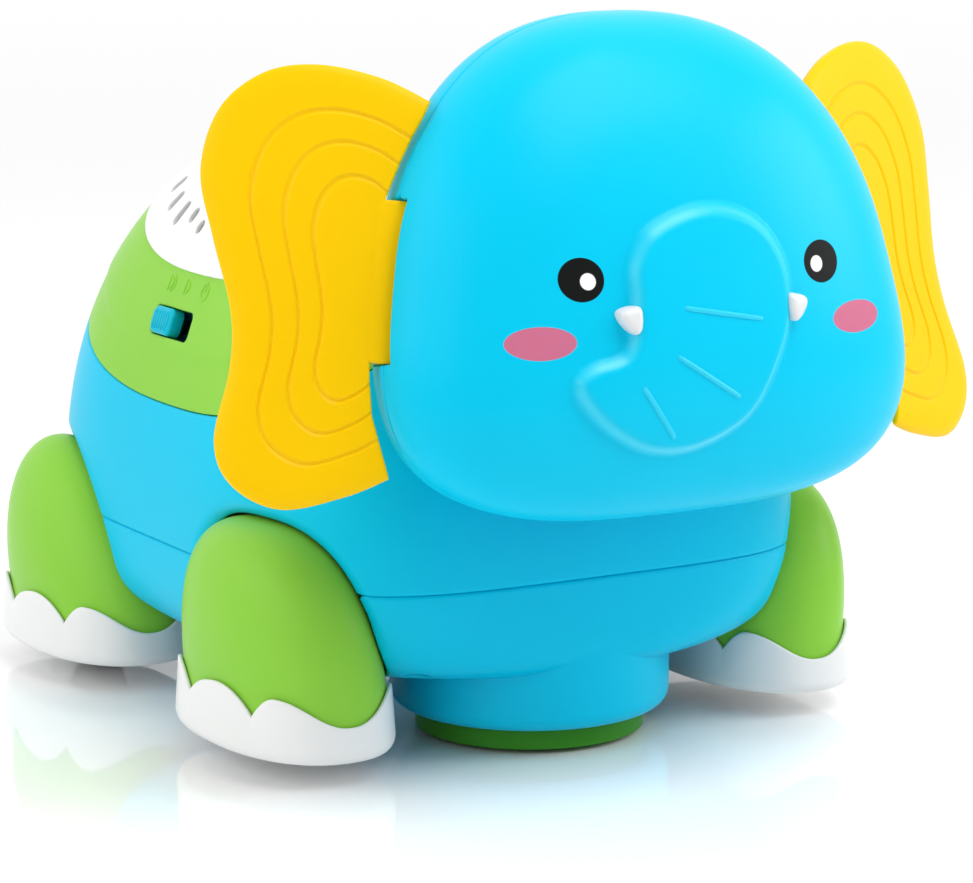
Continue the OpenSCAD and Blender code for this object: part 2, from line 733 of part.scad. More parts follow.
module speaker_posts(r, from, to) {
    for (a = [45:90:315]) translate([speaker_r * cos(a), smile_y + speaker_r * sin(a), from])
        cylinder(h = to - from, r = r, $fn = 20);
}
module speaker_grille() {
    color("white") difference() {
        union() {
            difference() {
                intersection() {
                    upper_form(-pad_proud);
                    smile_cut(grille_reach - saddle_fit, grille_drop - saddle_fit);
                }
                upper_form(wall);
            }
            intersection() {
                upper_form(wall / 2);
                speaker_posts(2.6, speaker_z - 3, speaker_z + 40);
            }
        }
        translate([0, smile_y, speaker_z - 4]) cylinder(h = 4, r = speaker_r + slip, $fn = 48);
        slits();
    }
}
module speaker() {
    color("black") translate([0, smile_y, speaker_z]) rotate_extrude($fn = 64)
        polygon([[0, -11], [speaker_r * 0.45, -11],
        [speaker_r * 0.45, -6], [speaker_r * 0.8, -2.6], [speaker_r, -2.6], [speaker_r, 0],
        [speaker_r * 0.9, 0], [speaker_r * 0.8, -1], [speaker_r * 0.35, -4.5], [0, -3.5]]);
}

// Slide switch behind the saddle, and its knob
knob_travel = switch_l - knob_l - 0.6;
knob_out = 1.6;
knob_rest = (switch_l - knob_l) / 2 - 0.3;
module slide_switch() {
    color("silver") at_switch() difference() {
        union() {
            translate([0, 0, switch_seat - 0.5]) cube([switch_h + 5, switch_l + 8, 1], center = true);
            translate([0, 0, switch_seat - 4.5]) cube([switch_h, switch_l + 2, 8], center = true);
        }
        translate([0, 0, switch_seat - 2]) cube([3.6, switch_l - 2, 5], center = true);
    }
}
module switch_knob() {
    color("deepskyblue") at_switch() translate([0, knob_rest, 0]) {
        translate([0, 0, -2.2]) rounded_bar(knob_l, switch_h - 2 * slip, 2.2 + knob_out - 0.4, 1);
        for (i = [-2:2]) translate([0, i * 1.6, knob_out - 0.6])
            cube([switch_h - 2, 0.7, 0.8], center = true);
        translate([0, 0, switch_seat / 2 - 1.6]) cube([2.8, 4, -switch_seat], center = true);
    }
}

// Battery box over the belly opening, three cells, their contacts, the door and its screw
box_top = inner_belly + 2 * cell_r + 1.4;
board_z = box_top + 8;
cell_z = inner_belly + cell_r + 0.5;
module at_battery() {
    translate([0, battery_y, 0]) children();
}
module box_posts(r, from, to) {
    for (sx = [-1, 1], sy = [-1, 1]) translate([sx * (box_in_w / 2 - 2), sy * (box_in_l / 2 - 2), from])
        cylinder(h = to - from, r = r, $fn = 32);
}
module battery_box() {
    color("dimgray") at_battery() difference() {
        union() {
            translate([-box_w / 2, box_front, inner_belly])
                cube([box_w, box_rear - box_front, box_top + 2 - inner_belly]);
            box_posts(2.6, box_top, board_z);
        }
        translate([-box_in_w / 2, -box_in_l / 2, inner_belly - 1])
            cube([box_in_w, box_in_l, box_top - inner_belly + 1]);
        translate([0, door_screw_y, inner_belly - 1]) cylinder(h = 9, r = screw_r + fit, $fn = 32);
    }
}
module battery_cells() {
    color("orange") at_battery() for (i = [-1, 0, 1]) mirror([0, i == 0 ? 1 : 0, 0])
        translate([i * (2 * cell_r + 0.6), -cell_l / 2, cell_z]) rotate([-90, 0, 0])
            rotate_extrude($fn = 48)
            polygon([[0, 0], [cell_r - 0.6, 0], [cell_r, 0.6], [cell_r, cell_l - 2],
                [cell_r - 0.8, cell_l - 1.2],
                     [2.7, cell_l - 1.2], [2.7, cell_l], [0, cell_l]]);
}
contact_at = -box_in_l / 2;
module battery_contacts() {
    color("gold") at_battery() for (i = [-1, 0, 1], way = [0, 1]) mirror([0, way, 0])
        translate([i * (2 * cell_r + 0.6) - 4, 0, cell_z]) rotate([90, 0, 90]) linear_extrude(8)
            polygon([[contact_at, -5], [contact_at + 0.4, -5], [contact_at + 0.4, 4.2],
                [-cell_l / 2 - 0.45, 0.4],
                     [-cell_l / 2 - 1.3, -1.6], [-cell_l / 2 - 0.9, -1.8], [-cell_l / 2 - 0.02, 0.4],
                     [contact_at + 0.4, 5], [contact_at, 5]]);
}
module battery_door() {
    color("deepskyblue") at_battery() difference() {
        translate([-door_w / 2 + slip, door_front + slip, belly_z])
            cube([door_w - 2 * slip, door_rear - door_front - 2 * slip, wall]);
        for (i = [-2:2]) translate([i * 8 - 1, door_rear - 16, belly_z - 1]) cube([2, 9, 1.8]);
        translate([0, door_screw_y, belly_z - 1]) cylinder(h = wall + 2, r = screw_r + slip, $fn = 32);
        translate([0, door_screw_y, belly_z - 1]) cylinder(h = 2.4, r = screw_head_r + slip, $fn = 32);
    }
}
module battery_door_screw() {
    color("silver") at_battery() translate([0, door_screw_y, belly_z + 1.4]) screw(wall + 4);
}
module main_board() {
    color("darkgreen") at_battery() {
        translate([-box_in_w / 2, -box_in_l / 2, board_z]) cube([box_in_w, box_in_l, 1.6]);
        translate([-9, -6, board_z + 1.6]) cube([18, 12, 2.2]);
        translate([-16, 14, board_z + 1.6]) cylinder(h = 9, r = 3.2, $fn = 32);
        translate([12, 12, board_z + 1.6]) cube([8, 10, 5]);
    }
}

// Legs and shoes
module leg_shell(side, y) {
    difference() {
        union() {
            difference() {
                leg_form(side, y, 0, sole_z + sole_t);
                leg_form(side, y, -wall, sole_z);
            }
            leg_axis(y) translate([0, 0, side > 0 ? boss_face : -boss_face - 4])
                cylinder(h = 4, r = boss_r, $fn = 48);
            leg_axis(y) translate([0, 0, side > 0 ? boss_face : -boss_face - 14])
                cylinder(h = 14, r = 3.6, $fn = 48);
            children();
        }
        leg_axis(y) translate([0, 0, side > 0 ? boss_face - 1 : -boss_face - 12])
            cylinder(h = 13, r = screw_r + fit, $fn = 48);
    }
}
roller_gap = 0.8;
pin_l = roller_w + 2 * roller_gap + 4.8;
module rear_leg(side) {
    difference() {
        leg_shell(side, rear_y) intersection() {
            leg_form(side, rear_y, -wall / 2, sole_z + sole_t);
            for (way = [-1, 1]) translate([side * leg_x + way * (roller_w / 2 + roller_gap + 1.2),
                rear_y, 0])
                cube([2.4, 2 * leg_l, 36], center = true);
        }
        translate([side * leg_x, rear_y, roller_r]) rotate([0, 90, 0])
            cylinder(h = pin_l + 0.4, r = axle_r + fit, center = true, $fn = 48);
    }
}
module leg_front_left() {
    color("yellowgreen") leg_shell(1, front_y);
}
module leg_front_right() {
    color("yellowgreen") leg_shell(-1, front_y);
}
module leg_rear_left() {
    color("yellowgreen") rear_leg(1);
}
module leg_rear_right() {
    color("yellowgreen") rear_leg(-1);
}
module leg_screws() {
    color("silver") each_leg() leg_axis($y) mirror([0, 0, $side > 0 ? 0 : 1])
        translate([0, 0, boss_back]) screw(boss_face - boss_back + 9);
}

// Height of the shoe's scalloped edge round the leg: a dip in front, then toes
function toe_edge(t) = let (a = abs(t))
    a <= 46 ? 8 + 6.2 * (1 - cos(180 * a / 46)) / 2
    : a <= 60 ? 14.2 - 4.9 * pow((a - 46) / 14, 2)
    : 9.3 + 5.6 * pow(sin(180 * ((a - 60) % 44) / 44), 0.8);
shoe_around = 44;
shoe_fit = 0.1;
shoe_heel = 2.8;
module shoe(side, y) {
    a = leg_w / 2;
    b = leg_l / 2;
    turn = [for (i = [0:shoe_around - 1]) 360 * i / shoe_around];
    function edge(g, t, z) = [side * (leg_x + leg_lean * max(0, z - lean_z))
        + (a + g) * power(sin(t), 2 / leg_power),
                              y - (b + g) * power(cos(t), 2 / leg_power), z];
    function tip(t) = sole_z + toe_edge(t > 180 ? t - 360 : t);
    rings = [[for (t = turn) edge(shoe_proud - 1.8, t, sole_z)],
             [for (t = turn) edge(shoe_proud - 0.4, t, sole_z + shoe_heel * 0.4)],
             [for (t = turn) edge(shoe_proud, t, sole_z + shoe_heel)],
             [for (t = turn) edge(shoe_proud * 0.45, t, tip(t))],
             [for (t = turn) edge(shoe_fit, t, tip(t) - 0.4)],
             [for (t = turn) edge(shoe_fit, t, sole_z + sole_t)]];
    n = shoe_around;
    last = len(rings) * n;
    points = concat([for (r = rings) each r],
        [[side * leg_x, y, sole_z], [side * leg_x, y, sole_z + sole_t]]);
    faces = [
        for (r = [0:len(rings) - 2], i = [0:n - 1]) let (j = (i + 1) % n)
            each [[r * n + i, (r + 1) * n + j, r * n + j],
                [r * n + i, (r + 1) * n + i, (r + 1) * n + j]],
        for (i = [0:n - 1]) let (j = (i + 1) % n)
            each [[last, i, j], [last + 1, last - n + j, last - n + i]]];
    polyhedron(points, faces);
}
module rear_shoe(side) {
    difference() {
        shoe(side, rear_y);
        translate([side * leg_x, rear_y, roller_r]) rotate([0, 90, 0])
            cylinder(h = roller_w + 2 * roller_gap, r = roller_r + roller_gap, center = true, $fn = 64);
    }
}
module shoe_front_left() {
    color("white") shoe(1, front_y);
}
module shoe_front_right() {
    color("white") shoe(-1, front_y);
}
module shoe_rear_left() {
    color("white") rear_shoe(1);
}
module shoe_rear_right() {
    color("white") rear_shoe(-1);
}

// Rear rollers on fixed pins
module roller(side) {
    translate([side * leg_x, rear_y, roller_r]) rotate([0, 90, 0]) difference() {
        rotate_extrude($fn = 64) polygon([[axle_r + fit, -roller_w / 2], [roller_r - 1, -roller_w / 2],
            [roller_r, -roller_w / 2 + 1], [roller_r, roller_w / 2 - 1], [roller_r - 1, roller_w / 2],
            [axle_r + fit, roller_w / 2]]);
    }
}
module roller_left() {
    color("dimgray") roller(1);
}
module roller_right() {
    color("dimgray") roller(-1);
}
module roller_pins() {
    color("silver") for (side = [-1, 1]) translate([side * leg_x, rear_y, roller_r]) rotate([0, 90, 0])
        cylinder(h = pin_l, r = axle_r, center = true, $fn = 48);
}

// Gears: involute teeth with a little backlash
pressure = 20;
backlash = 0.22;
function involute(r, base) = r <= base ? 0 : let (c = acos(base / r)) tan(c) * 180 / PI - c;
function gear_points(teeth, first) =
    let (rp = teeth * tooth_m / 2, base = rp * cos(pressure), root = rp - 1.2 * tooth_m,
        tip = rp + 0.85 * tooth_m,
         radii = [root, max(root + 0.05, base), rp, (rp + tip) / 2, tip],
         half = 90 / teeth - backlash / 2 / rp * 180 / PI)
    [for (i = [0:teeth - 1]) let (c = first + 360 * i / teeth)
        each concat([for (r = radii) let (t = c - half - involute(rp, base) + involute(r, base))
            r * [cos(t), sin(t)]],
                    [for (k = [len(radii) - 1:-1:0])
                        let (r = radii[k], t = c + half + involute(rp, base) - involute(r, base))
                            r * [cos(t), sin(t)]])];
module spur(teeth, first, from, to) {
    translate([0, 0, from]) linear_extrude(to - from) polygon(gear_points(teeth, first));
}
pinion_teeth = 10;
big_teeth = 30;
small_teeth = 12;
shaft_teeth = 28;
crown_teeth = 18;
stage_1 = (pinion_teeth + big_teeth) * tooth_m / 2;
stage_2 = (small_teeth + shaft_teeth) * tooth_m / 2;

// Heights in the drive, built up from the axle
axle_z = wheel_r;
disc_floor = 2;
crown_pitch = crown_teeth * tooth_m / 2;
cover_z = axle_z + wheel_r + 0.8;
hub_r = 8;
thrust_z = cover_z + 2 + 0.1;
deck_z = inner_belly + 2.4;
clip_z = deck_z + 3.1;
gear_z = clip_z + 4;
big_z = gear_z + 6;
lid_z = big_z + 6.5;
lid_t = 2.4;
motor_r = 10.2;
motor_l = 25;

// Gearbox: a flanged tub round the gears and its lid
module gear_room(grow, from, to) {
    hull() {
        for (q = [[0, shaft_teeth * tooth_m / 2], [stage_2, big_teeth * tooth_m / 2],
                  [stage_2 + stage_1, pinion_teeth * tooth_m / 2 + 2]])
            translate([0, q[0], from]) cylinder(h = to - from, r = q[1] + 2 + grow, $fn = 32);
    }
}
module gearbox_housing() {
    color("lightgray") at_disc() difference() {
        union() {
            intersection() {
                translate([0, 0, inner_belly])
                    cylinder(h = deck_z - inner_belly, r = plate_r, $fn = 64);
                translate([0, plate_r - skirt_r + 8, 0])
                    cube([2 * plate_r, 2 * skirt_r, 80], center = true);
            }
            translate([0, 0, thrust_z]) cylinder(h = clip_z - thrust_z - 0.1, r = hub_r + 3, $fn = 64);
            gear_room(1.8, inner_belly, lid_z);
        }
        gear_room(0, deck_z, lid_z + 1);
        translate([0, 0, thrust_z - 1]) cylinder(h = 20, r = hub_r + fit, $fn = 64);
        translate([0, stage_2, inner_belly - 1]) cylinder(h = 10, r = 1 + fit / 5, $fn = 32);
        for (a = plate_screws) rotate([0, 0, a]) translate([plate_screw_r, 0, inner_belly - 1])
            cylinder(h = 10, r = screw_r + slip, $fn = 32);
    }
}
module gearbox_cover() {
    color("lightgray") at_disc() difference() {
        gear_room(1.8, lid_z, lid_z + lid_t);
        translate([0, 0, lid_z - 1]) cylinder(h = lid_t, r = axle_r + fit, $fn = 48);
        translate([0, stage_2, lid_z - 1]) cylinder(h = lid_t, r = 1 + fit / 5, $fn = 32);
        translate([0, stage_2 + stage_1, lid_z - 1]) cylinder(h = lid_t + 2, r = 3.2, $fn = 48);
    }
}
module gearbox_screws() {
    color("silver") at_disc() for (a = plate_screws) rotate([0, 0, a])
        translate([plate_screw_r, 0, deck_z])
        rotate([180, 0, 0]) screw(deck_z - sole_z - 5);
}
module motor() {
    color("silver") at_disc() translate([0, stage_2 + stage_1, lid_z + lid_t]) difference() {
        union() {
            intersection() {
                cylinder(h = motor_l, r = motor_r, $fn = 64);
                translate([0, 0, motor_l / 2])
                    cube([2 * motor_r - 5, 2 * motor_r, motor_l], center = true);
            }
            translate([0, 0, motor_l]) cylinder(h = 1.6, r = 3, $fn = 48);
            translate([0, 0, -1.4]) cylinder(h = 2, r = 3, $fn = 48);
        }
        translate([0, 0, -3]) cylinder(h = 8, r = 1 + fit, $fn = 48);
    }
}
module motor_pinion() {
    color("white") at_disc() translate([0, stage_2 + stage_1, 0]) {
        spur(pinion_teeth, 270 + 180 / pinion_teeth, big_z - 0.4, big_z + 4);
        translate([0, 0, big_z]) cylinder(h = lid_z + lid_t + 4 - big_z, r = 1, $fn = 48);
    }
}
module reduction_gear() {
    color("white") at_disc() translate([0, stage_2, 0]) difference() {
        union() {
            spur(small_teeth, 270 + 180 / small_teeth, gear_z - 0.4, big_z);
            spur(big_teeth, 90, big_z, big_z + 3);
        }
        translate([0, 0, gear_z - 1]) cylinder(h = 20, r = 1 + fit, $fn = 48);
    }
}
module reduction_pin() {
    color("silver") at_disc() translate([0, stage_2, inner_belly])
        cylinder(h = lid_z + lid_t - 1 - inner_belly, r = 1, $fn = 48);
}
crown_pinion = 10;
crown_pinion_tip = crown_pinion * tooth_m / 2 + 0.85 * tooth_m;
module drive_shaft() {
    color("white") at_disc() {
        spur(shaft_teeth, 90, gear_z, gear_z + 4);
        translate([0, 0, cover_z - 2])
            cylinder(h = lid_z + lid_t - 1.2 - cover_z + 2, r = axle_r, $fn = 48);
        spur(crown_pinion, 0, axle_z + crown_pitch - 1.6, cover_z - slip);
    }
}

// Turntable: a green cup with wheel slots and axle bearings, closed by a cover with the hub
disc_wall = 1.8;
wheel_x = 12.5;
post_half = 4;
module turntable() {
    color("limegreen") at_disc() difference() {
        union() {
            difference() {
                translate([0, 0, disc_z]) cylinder(h = cover_z - disc_z, r = disc_r, $fn = 96);
                translate([0, 0, disc_z + disc_floor])
                    cylinder(h = cover_z, r = disc_r - disc_wall, $fn = 96);
            }
            for (side = [-1, 1]) translate([side * (wheel_x - 2.3) - 1.2, -post_half,
                disc_z + disc_floor / 2])
                cube([2.4, 2 * post_half, axle_z + axle_r + 2 - disc_z - disc_floor / 2]);
        }
        for (side = [-1, 1]) translate([side * (wheel_x + wheel_w / 2), 0, axle_z]) rotate([0, 90, 0])
            cylinder(h = wheel_w + 1, r = wheel_r + 0.7, center = true, $fn = 64);
        translate([0, 0, axle_z]) rotate([0, 90, 0])
            cylinder(h = 40, r = axle_r + fit, center = true, $fn = 48);
        translate([-crown_x - 4, 0, axle_z]) rotate([0, 90, 0])
            cylinder(h = 5, r = crown_pitch + 1.6, $fn = 64);
    }
}
module turntable_cover() {
    color("lightgray") at_disc() difference() {
        union() {
            translate([0, 0, cover_z]) cylinder(h = 2, r = disc_r, $fn = 96);
            translate([0, 0, cover_z]) cylinder(h = clip_z + 2 - cover_z, r = hub_r, $fn = 64);
            difference() {
                translate([0, 0, cover_z - 1.5])
                    cylinder(h = 1.6, r = disc_r - disc_wall - 0.1, $fn = 96);
                translate([0, 0, cover_z - 2]) cylinder(h = 2, r = disc_r - disc_wall - 1.6, $fn = 96);
            }
        }
        translate([0, 0, cover_z - 3]) cylinder(h = 30, r = axle_r + fit, $fn = 48);
        difference() {
            translate([0, 0, clip_z]) cylinder(h = 1, r = hub_r + 1, $fn = 64);
            translate([0, 0, clip_z - 1]) cylinder(h = 3, r = hub_r - 1, $fn = 64);
        }
    }
}
module turntable_clip() {
    color("silver") at_disc() translate([0, 0, clip_z + 0.1]) difference() {
        cylinder(h = 0.8, r = hub_r + 1.4, $fn = 64);
        translate([0, 0, -1]) cylinder(h = 3, r = hub_r - 1 + fit, $fn = 64);
        translate([-hub_r + 2, 0, -1]) cube([2 * hub_r - 4, hub_r + 4, 3]);
    }
}

// Drive wheels on their axle, turned by a crown gear
crown_x = crown_pinion_tip + 0.3;
module on_axle() {
    translate([0, disc_y, axle_z]) rotate([0, 90, 0]) children();
}
module wheel_axle() {
    color("silver") on_axle()
        cylinder(h = 2 * (wheel_x + wheel_w) - 1, r = axle_r, center = true, $fn = 48);
}
module crown_gear() {
    color("white") on_axle() difference() {
        union() {
            translate([0, 0, -crown_x - 3]) cylinder(h = 2, r = crown_pitch + 0.8, $fn = 64);
            translate([0, 0, -wheel_x + 4]) cylinder(h = wheel_x - 5 - crown_x, r = 3, $fn = 48);
            for (i = [0:crown_teeth - 1]) rotate([0, 0, 360 * i / crown_teeth])
                translate([crown_pitch, 0, -crown_x - 1.1]) rotate([90, 0, 90])
                    linear_extrude(1.6, center = true)
                        polygon([[-0.6, 0], [0.6, 0], [0.3, 1.1], [-0.3, 1.1]]);
        }
        cylinder(h = 60, r = axle_r + 0.01, center = true, $fn = 48);
    }
}
tyre_t = 1.6;
module wheel(side) {
    on_axle() translate([0, 0, side * (wheel_x + wheel_w / 2)]) difference() {
        rotate_extrude($fn = 64) polygon([[axle_r + 0.01, -wheel_w / 2], [3.4, -wheel_w / 2],
            [3.4, -wheel_w / 2 + 1.4],
            [wheel_r - tyre_t - 1.4, -wheel_w / 2 + 1.4], [wheel_r - tyre_t - 1.4, -wheel_w / 2],
                [wheel_r - tyre_t, -wheel_w / 2],
            [wheel_r - tyre_t, wheel_w / 2], [wheel_r - tyre_t - 1.4, wheel_w / 2],
            [wheel_r - tyre_t - 1.4, wheel_w / 2 - 1.4], [3.4, wheel_w / 2 - 1.4],
                [3.4, wheel_w / 2], [axle_r + 0.01, wheel_w / 2]]);
        for (a = [0:60:300]) rotate([0, 0, a]) translate([4.7, 0, 0])
            cylinder(h = wheel_w, r = 0.8, center = true, $fn = 24);
    }
}
module tyre(side) {
    on_axle() translate([0, 0, side * (wheel_x + wheel_w / 2)]) rotate_extrude($fn = 64)
        polygon([[wheel_r - tyre_t, -wheel_w / 2], [wheel_r - 0.5, -wheel_w / 2],
            [wheel_r, -wheel_w / 2 + 0.5],
                 [wheel_r, wheel_w / 2 - 0.5], [wheel_r - 0.5, wheel_w / 2],
                     [wheel_r - tyre_t, wheel_w / 2]]);
}
module wheel_left() {
    color("white") wheel(1);
}
module wheel_right() {
    color("white") wheel(-1);
}
module tyre_left() {
    color("black") tyre(1);
}
module tyre_right() {
    color("black") tyre(-1);
}

head_front();
head_back();
tusks();
ear_left();
ear_right();
neck_plate();
neck_screws();
head_screws();
body_upper();
body_lower();
body_screws();
saddle();
speaker_grille();
speaker();
switch_knob();
slide_switch();
main_board();
battery_box();
battery_cells();
battery_contacts();
battery_door();
battery_door_screw();
leg_front_left();
leg_front_right();
leg_rear_left();
leg_rear_right();
leg_screws();
shoe_front_left();
shoe_front_right();
shoe_rear_left();
shoe_rear_right();
roller_left();
roller_right();
roller_pins();
gearbox_housing();
gearbox_cover();
gearbox_screws();
motor();
motor_pinion();
reduction_gear();
reduction_pin();
drive_shaft();
turntable();
turntable_cover();
turntable_clip();
wheel_axle();
crown_gear();
wheel_left();
wheel_right();
tyre_left();
tyre_right();
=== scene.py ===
import math
import bpy
import numpy as np
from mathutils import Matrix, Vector


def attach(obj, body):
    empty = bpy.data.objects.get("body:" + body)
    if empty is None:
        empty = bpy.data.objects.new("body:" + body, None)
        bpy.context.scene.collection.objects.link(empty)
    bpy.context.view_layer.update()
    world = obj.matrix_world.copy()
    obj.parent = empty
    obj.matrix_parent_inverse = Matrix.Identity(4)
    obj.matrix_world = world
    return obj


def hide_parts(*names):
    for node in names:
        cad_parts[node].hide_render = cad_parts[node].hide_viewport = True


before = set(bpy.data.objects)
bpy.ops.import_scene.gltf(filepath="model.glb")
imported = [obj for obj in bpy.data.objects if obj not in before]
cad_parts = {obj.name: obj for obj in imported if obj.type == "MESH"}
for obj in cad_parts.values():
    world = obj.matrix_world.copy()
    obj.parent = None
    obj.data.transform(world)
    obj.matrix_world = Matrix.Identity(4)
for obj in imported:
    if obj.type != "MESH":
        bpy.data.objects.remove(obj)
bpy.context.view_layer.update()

# Lower body shell: a shallow tub moulded in sky-blue ABS, the base that all else is built on.
# Its wall is cut for the leg pockets, the battery opening and four screw wells, and the skirt
# round the drive is one moulding with it. The flanks are rounder underneath than the chest.
mm, uncut, sharp_edge = 0.001, 99.0, math.radians(38)
body_w, body_l, body_y = 140.5, 172.4, 22.6253
seam_z, belly_z, belly_drop, flank_drop = 41.7, 18.2, 24.6, 28.0
plan_power, belly_power, flank_power, belly_round = 4.3, 8.9, 3.8, 2.5
body_around, shell_edge = 560, 0.7


def lift(d, p):
    """Height of a unit superellipse of power p at a distance d from its middle."""
    return np.maximum(0, 1 - np.abs(d) ** p) ** (1 / p)


def step(d, width):
    """0 up to d = 0, then a soft rise to 1 at d = width."""
    t = np.clip(d / width, 0, 1)
    return t * t * (3 - 2 * t)


def circle(count):
    """Even angles round a full turn."""
    return np.arange(count) * 2 * np.pi / count


def squared_size(u, v, p):
    """1 on a unit superellipse of power p, less inside it and more outside."""
    return (np.abs(u) ** p + np.abs(v) ** p) ** (1 / p)


def squared(turn, p):
    """Points of a unit superellipse at the given angles: (across, up)."""
    c, s = np.cos(turn), np.sin(turn)
    size = squared_size(c, s, p)
    return c / size, s / size


def unit(v):
    return v / np.maximum(np.linalg.norm(v, axis=1), 1e-12)[:, None]


def skin(rows, flip=False):
    """Points and quads of a surface through closed rows of equal length, outwards if the rows run
    anticlockwise and upwards, or else if flipped. A last row of one point closes it."""
    pole = len(rows[-1]) == 1
    n = len(rows[0])
    full = len(rows) - 1 if pole else len(rows)
    points = np.concatenate(rows)
    i = np.arange(n)
    j = (i + 1) % n
    quads = [np.stack([i, j, n + j, n + i], 1) + r * n for r in range(full - 1)]
    if pole:
        tip = np.full(n, len(points) - 1)
        quads.append(np.stack([(full - 1) * n + i, (full - 1) * n + j, tip, tip], 1))
    quads = np.concatenate(quads)
    return points, quads[:, ::-1] if flip else quads


def lathe(profile, count):
    """Rows round the Z axis, one for each (radius, height)."""
    turn = circle(count)
    return [np.stack([r * np.cos(turn), r * np.sin(turn), np.full(count, h)], 1) for r, h in profile]


def normals_of(points, quads):
    a = points[quads[:, 2]] - points[quads[:, 0]]
    b = points[quads[:, 3]] - points[quads[:, 1]]
    flat = np.cross(a, b)
    out = np.zeros_like(points)
    for k in range(4):
        np.add.at(out, quads[:, k], flat)
    return unit(out)


def away(level, points):
    """Distance outside the surface level(points) = 1, to first order."""
    small = 0.01
    here = level(points)
    slope = np.stack([(level(points + move) - here) / small for move in np.eye(3) * small], 1)
    return (here - 1) / np.maximum(np.linalg.norm(slope, axis=1), 1e-9)


def moulding(points, quads, keep, wall=2.4, edge=0.5, inner=True):
    """A moulded wall from a skin: cut where keep < 0, the cut edges rounded, with its inner face."""
    normals = normals_of(points, quads)
    inside = keep > edge
    count = inside[quads].sum(1)
    polygons = [tuple(dict.fromkeys(q)) for q in quads[count == 4].tolist()]
    # A quad that the cut crosses keeps its part inside, with new points on the cut
    made, parents = {}, []
    for q in quads[(count > 0) & (count < 4)].tolist():
        ring = []
        for a, b in zip(q, q[1:] + q[:1]):
            if a == b:
                continue
            if inside[a]:
                ring.append(a)
            if inside[a] != inside[b]:
                low, high = min(a, b), max(a, b)
                if (low, high) not in made:
                    made[low, high] = len(points) + len(parents)
                    part = np.clip((edge - keep[low]) / (keep[high] - keep[low]), 0.02, 0.98)
                    parents.append((low, high, part))
                ring.append(made[low, high])
        if len(ring) > 2:
            polygons.append(tuple(ring))
    if parents:
        first, second, part = (np.array(v) for v in zip(*parents))
        part = part[:, None]
        points = np.concatenate([points, points[first] * (1 - part) + points[second] * part])
        turned = normals[first] * (1 - part) + normals[second] * part
        normals = np.concatenate([normals, unit(turned)])
    # The rim is made of the edges that have a face on one side only
    used = set()
    for ring in polygons:
        used.update(zip(ring, ring[1:] + ring[:1]))
    after = {a: b for a, b in used if (b, a) not in used}
    before = {b: a for a, b in after.items()}
    rim = [a for a in after if a in before]
    place = {a: k for k, a in enumerate(rim)}
    ahead = np.array([after[a] for a in rim], int)
    behind = np.array([before[a] for a in rim], int)
    rows = []
    if rim:
        out = unit(np.cross(points[ahead] - points[behind], normals[rim]))
        for turn in np.radians([22.5, 45, 67.5, 90]):
            moved = out * math.sin(turn) - normals[rim] * (1 - math.cos(turn))
            rows.append(points[rim] + edge * moved)
        rows.append(points[rim] + out * edge - normals[rim] * wall)
    starts = len(points) + np.arange(len(rows) + 1) * len(rim)
    levels = [rim] + [range(start, start + len(rim)) for start in starts[:-1].tolist()]
    inner_face = []
    if inner:
        shift = int(starts[-1])
        inner_face = [tuple(shift + v for v in ring[::-1]) for ring in polygons]
        levels.append([shift + a for a in rim])
        rows.append(points - normals * wall)
    sides = [(place[a], place[after[a]]) for a in rim if after[a] in place]
    for low, high in zip(levels, levels[1:]):
        polygons += [(low[j], low[i], high[i], high[j]) for i, j in sides]
    return np.concatenate([points] + rows), polygons + inner_face


def joined(*parts):
    """Several (points, polygons) as one."""
    points, polygons, base = [], [], 0
    for p, q in parts:
        points.append(np.asarray(p, float))
        rings = q.tolist() if hasattr(q, "tolist") else q
        polygons += [tuple(int(v) + base for v in dict.fromkeys(ring)) for ring in rings]
        base += len(p)
    return np.concatenate(points), polygons


def shown(name, data):
    """A new object in the scene, at its origin."""
    obj = bpy.data.objects.new(name, data)
    bpy.context.collection.objects.link(obj)
    return obj


def settled(obj, body, nodes):
    """Smooths a finished piece, puts it on its body and lets it stand for the CAD nodes named."""
    obj.data.shade_smooth()
    obj.data.set_sharp_from_angle(angle=sharp_edge)
    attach(obj, body)
    if nodes:
        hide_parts(*nodes)


def piece(name, points, polygons, material, body, slot, *nodes, painted_highlight=None):
    """A finished mesh from points in millimetres, with a painted highlight of 0 to 1 at each if given."""
    used = np.unique(np.concatenate([np.array(ring) for ring in polygons]))
    index = np.zeros(len(points), int)
    index[used] = np.arange(len(used))
    mesh = bpy.data.meshes.new(name)
    corners = (np.asarray(points)[used] * mm).tolist()
    mesh.from_pydata(corners, [], [[int(index[v]) for v in ring] for ring in polygons])
    mesh.validate()
    if painted_highlight is not None:
        mesh.attributes.new("painted_highlight", "FLOAT", "POINT").data.foreach_set("value", painted_highlight[used])
    mesh.materials.append(material)
    settled(shown(name, mesh), body, nodes)


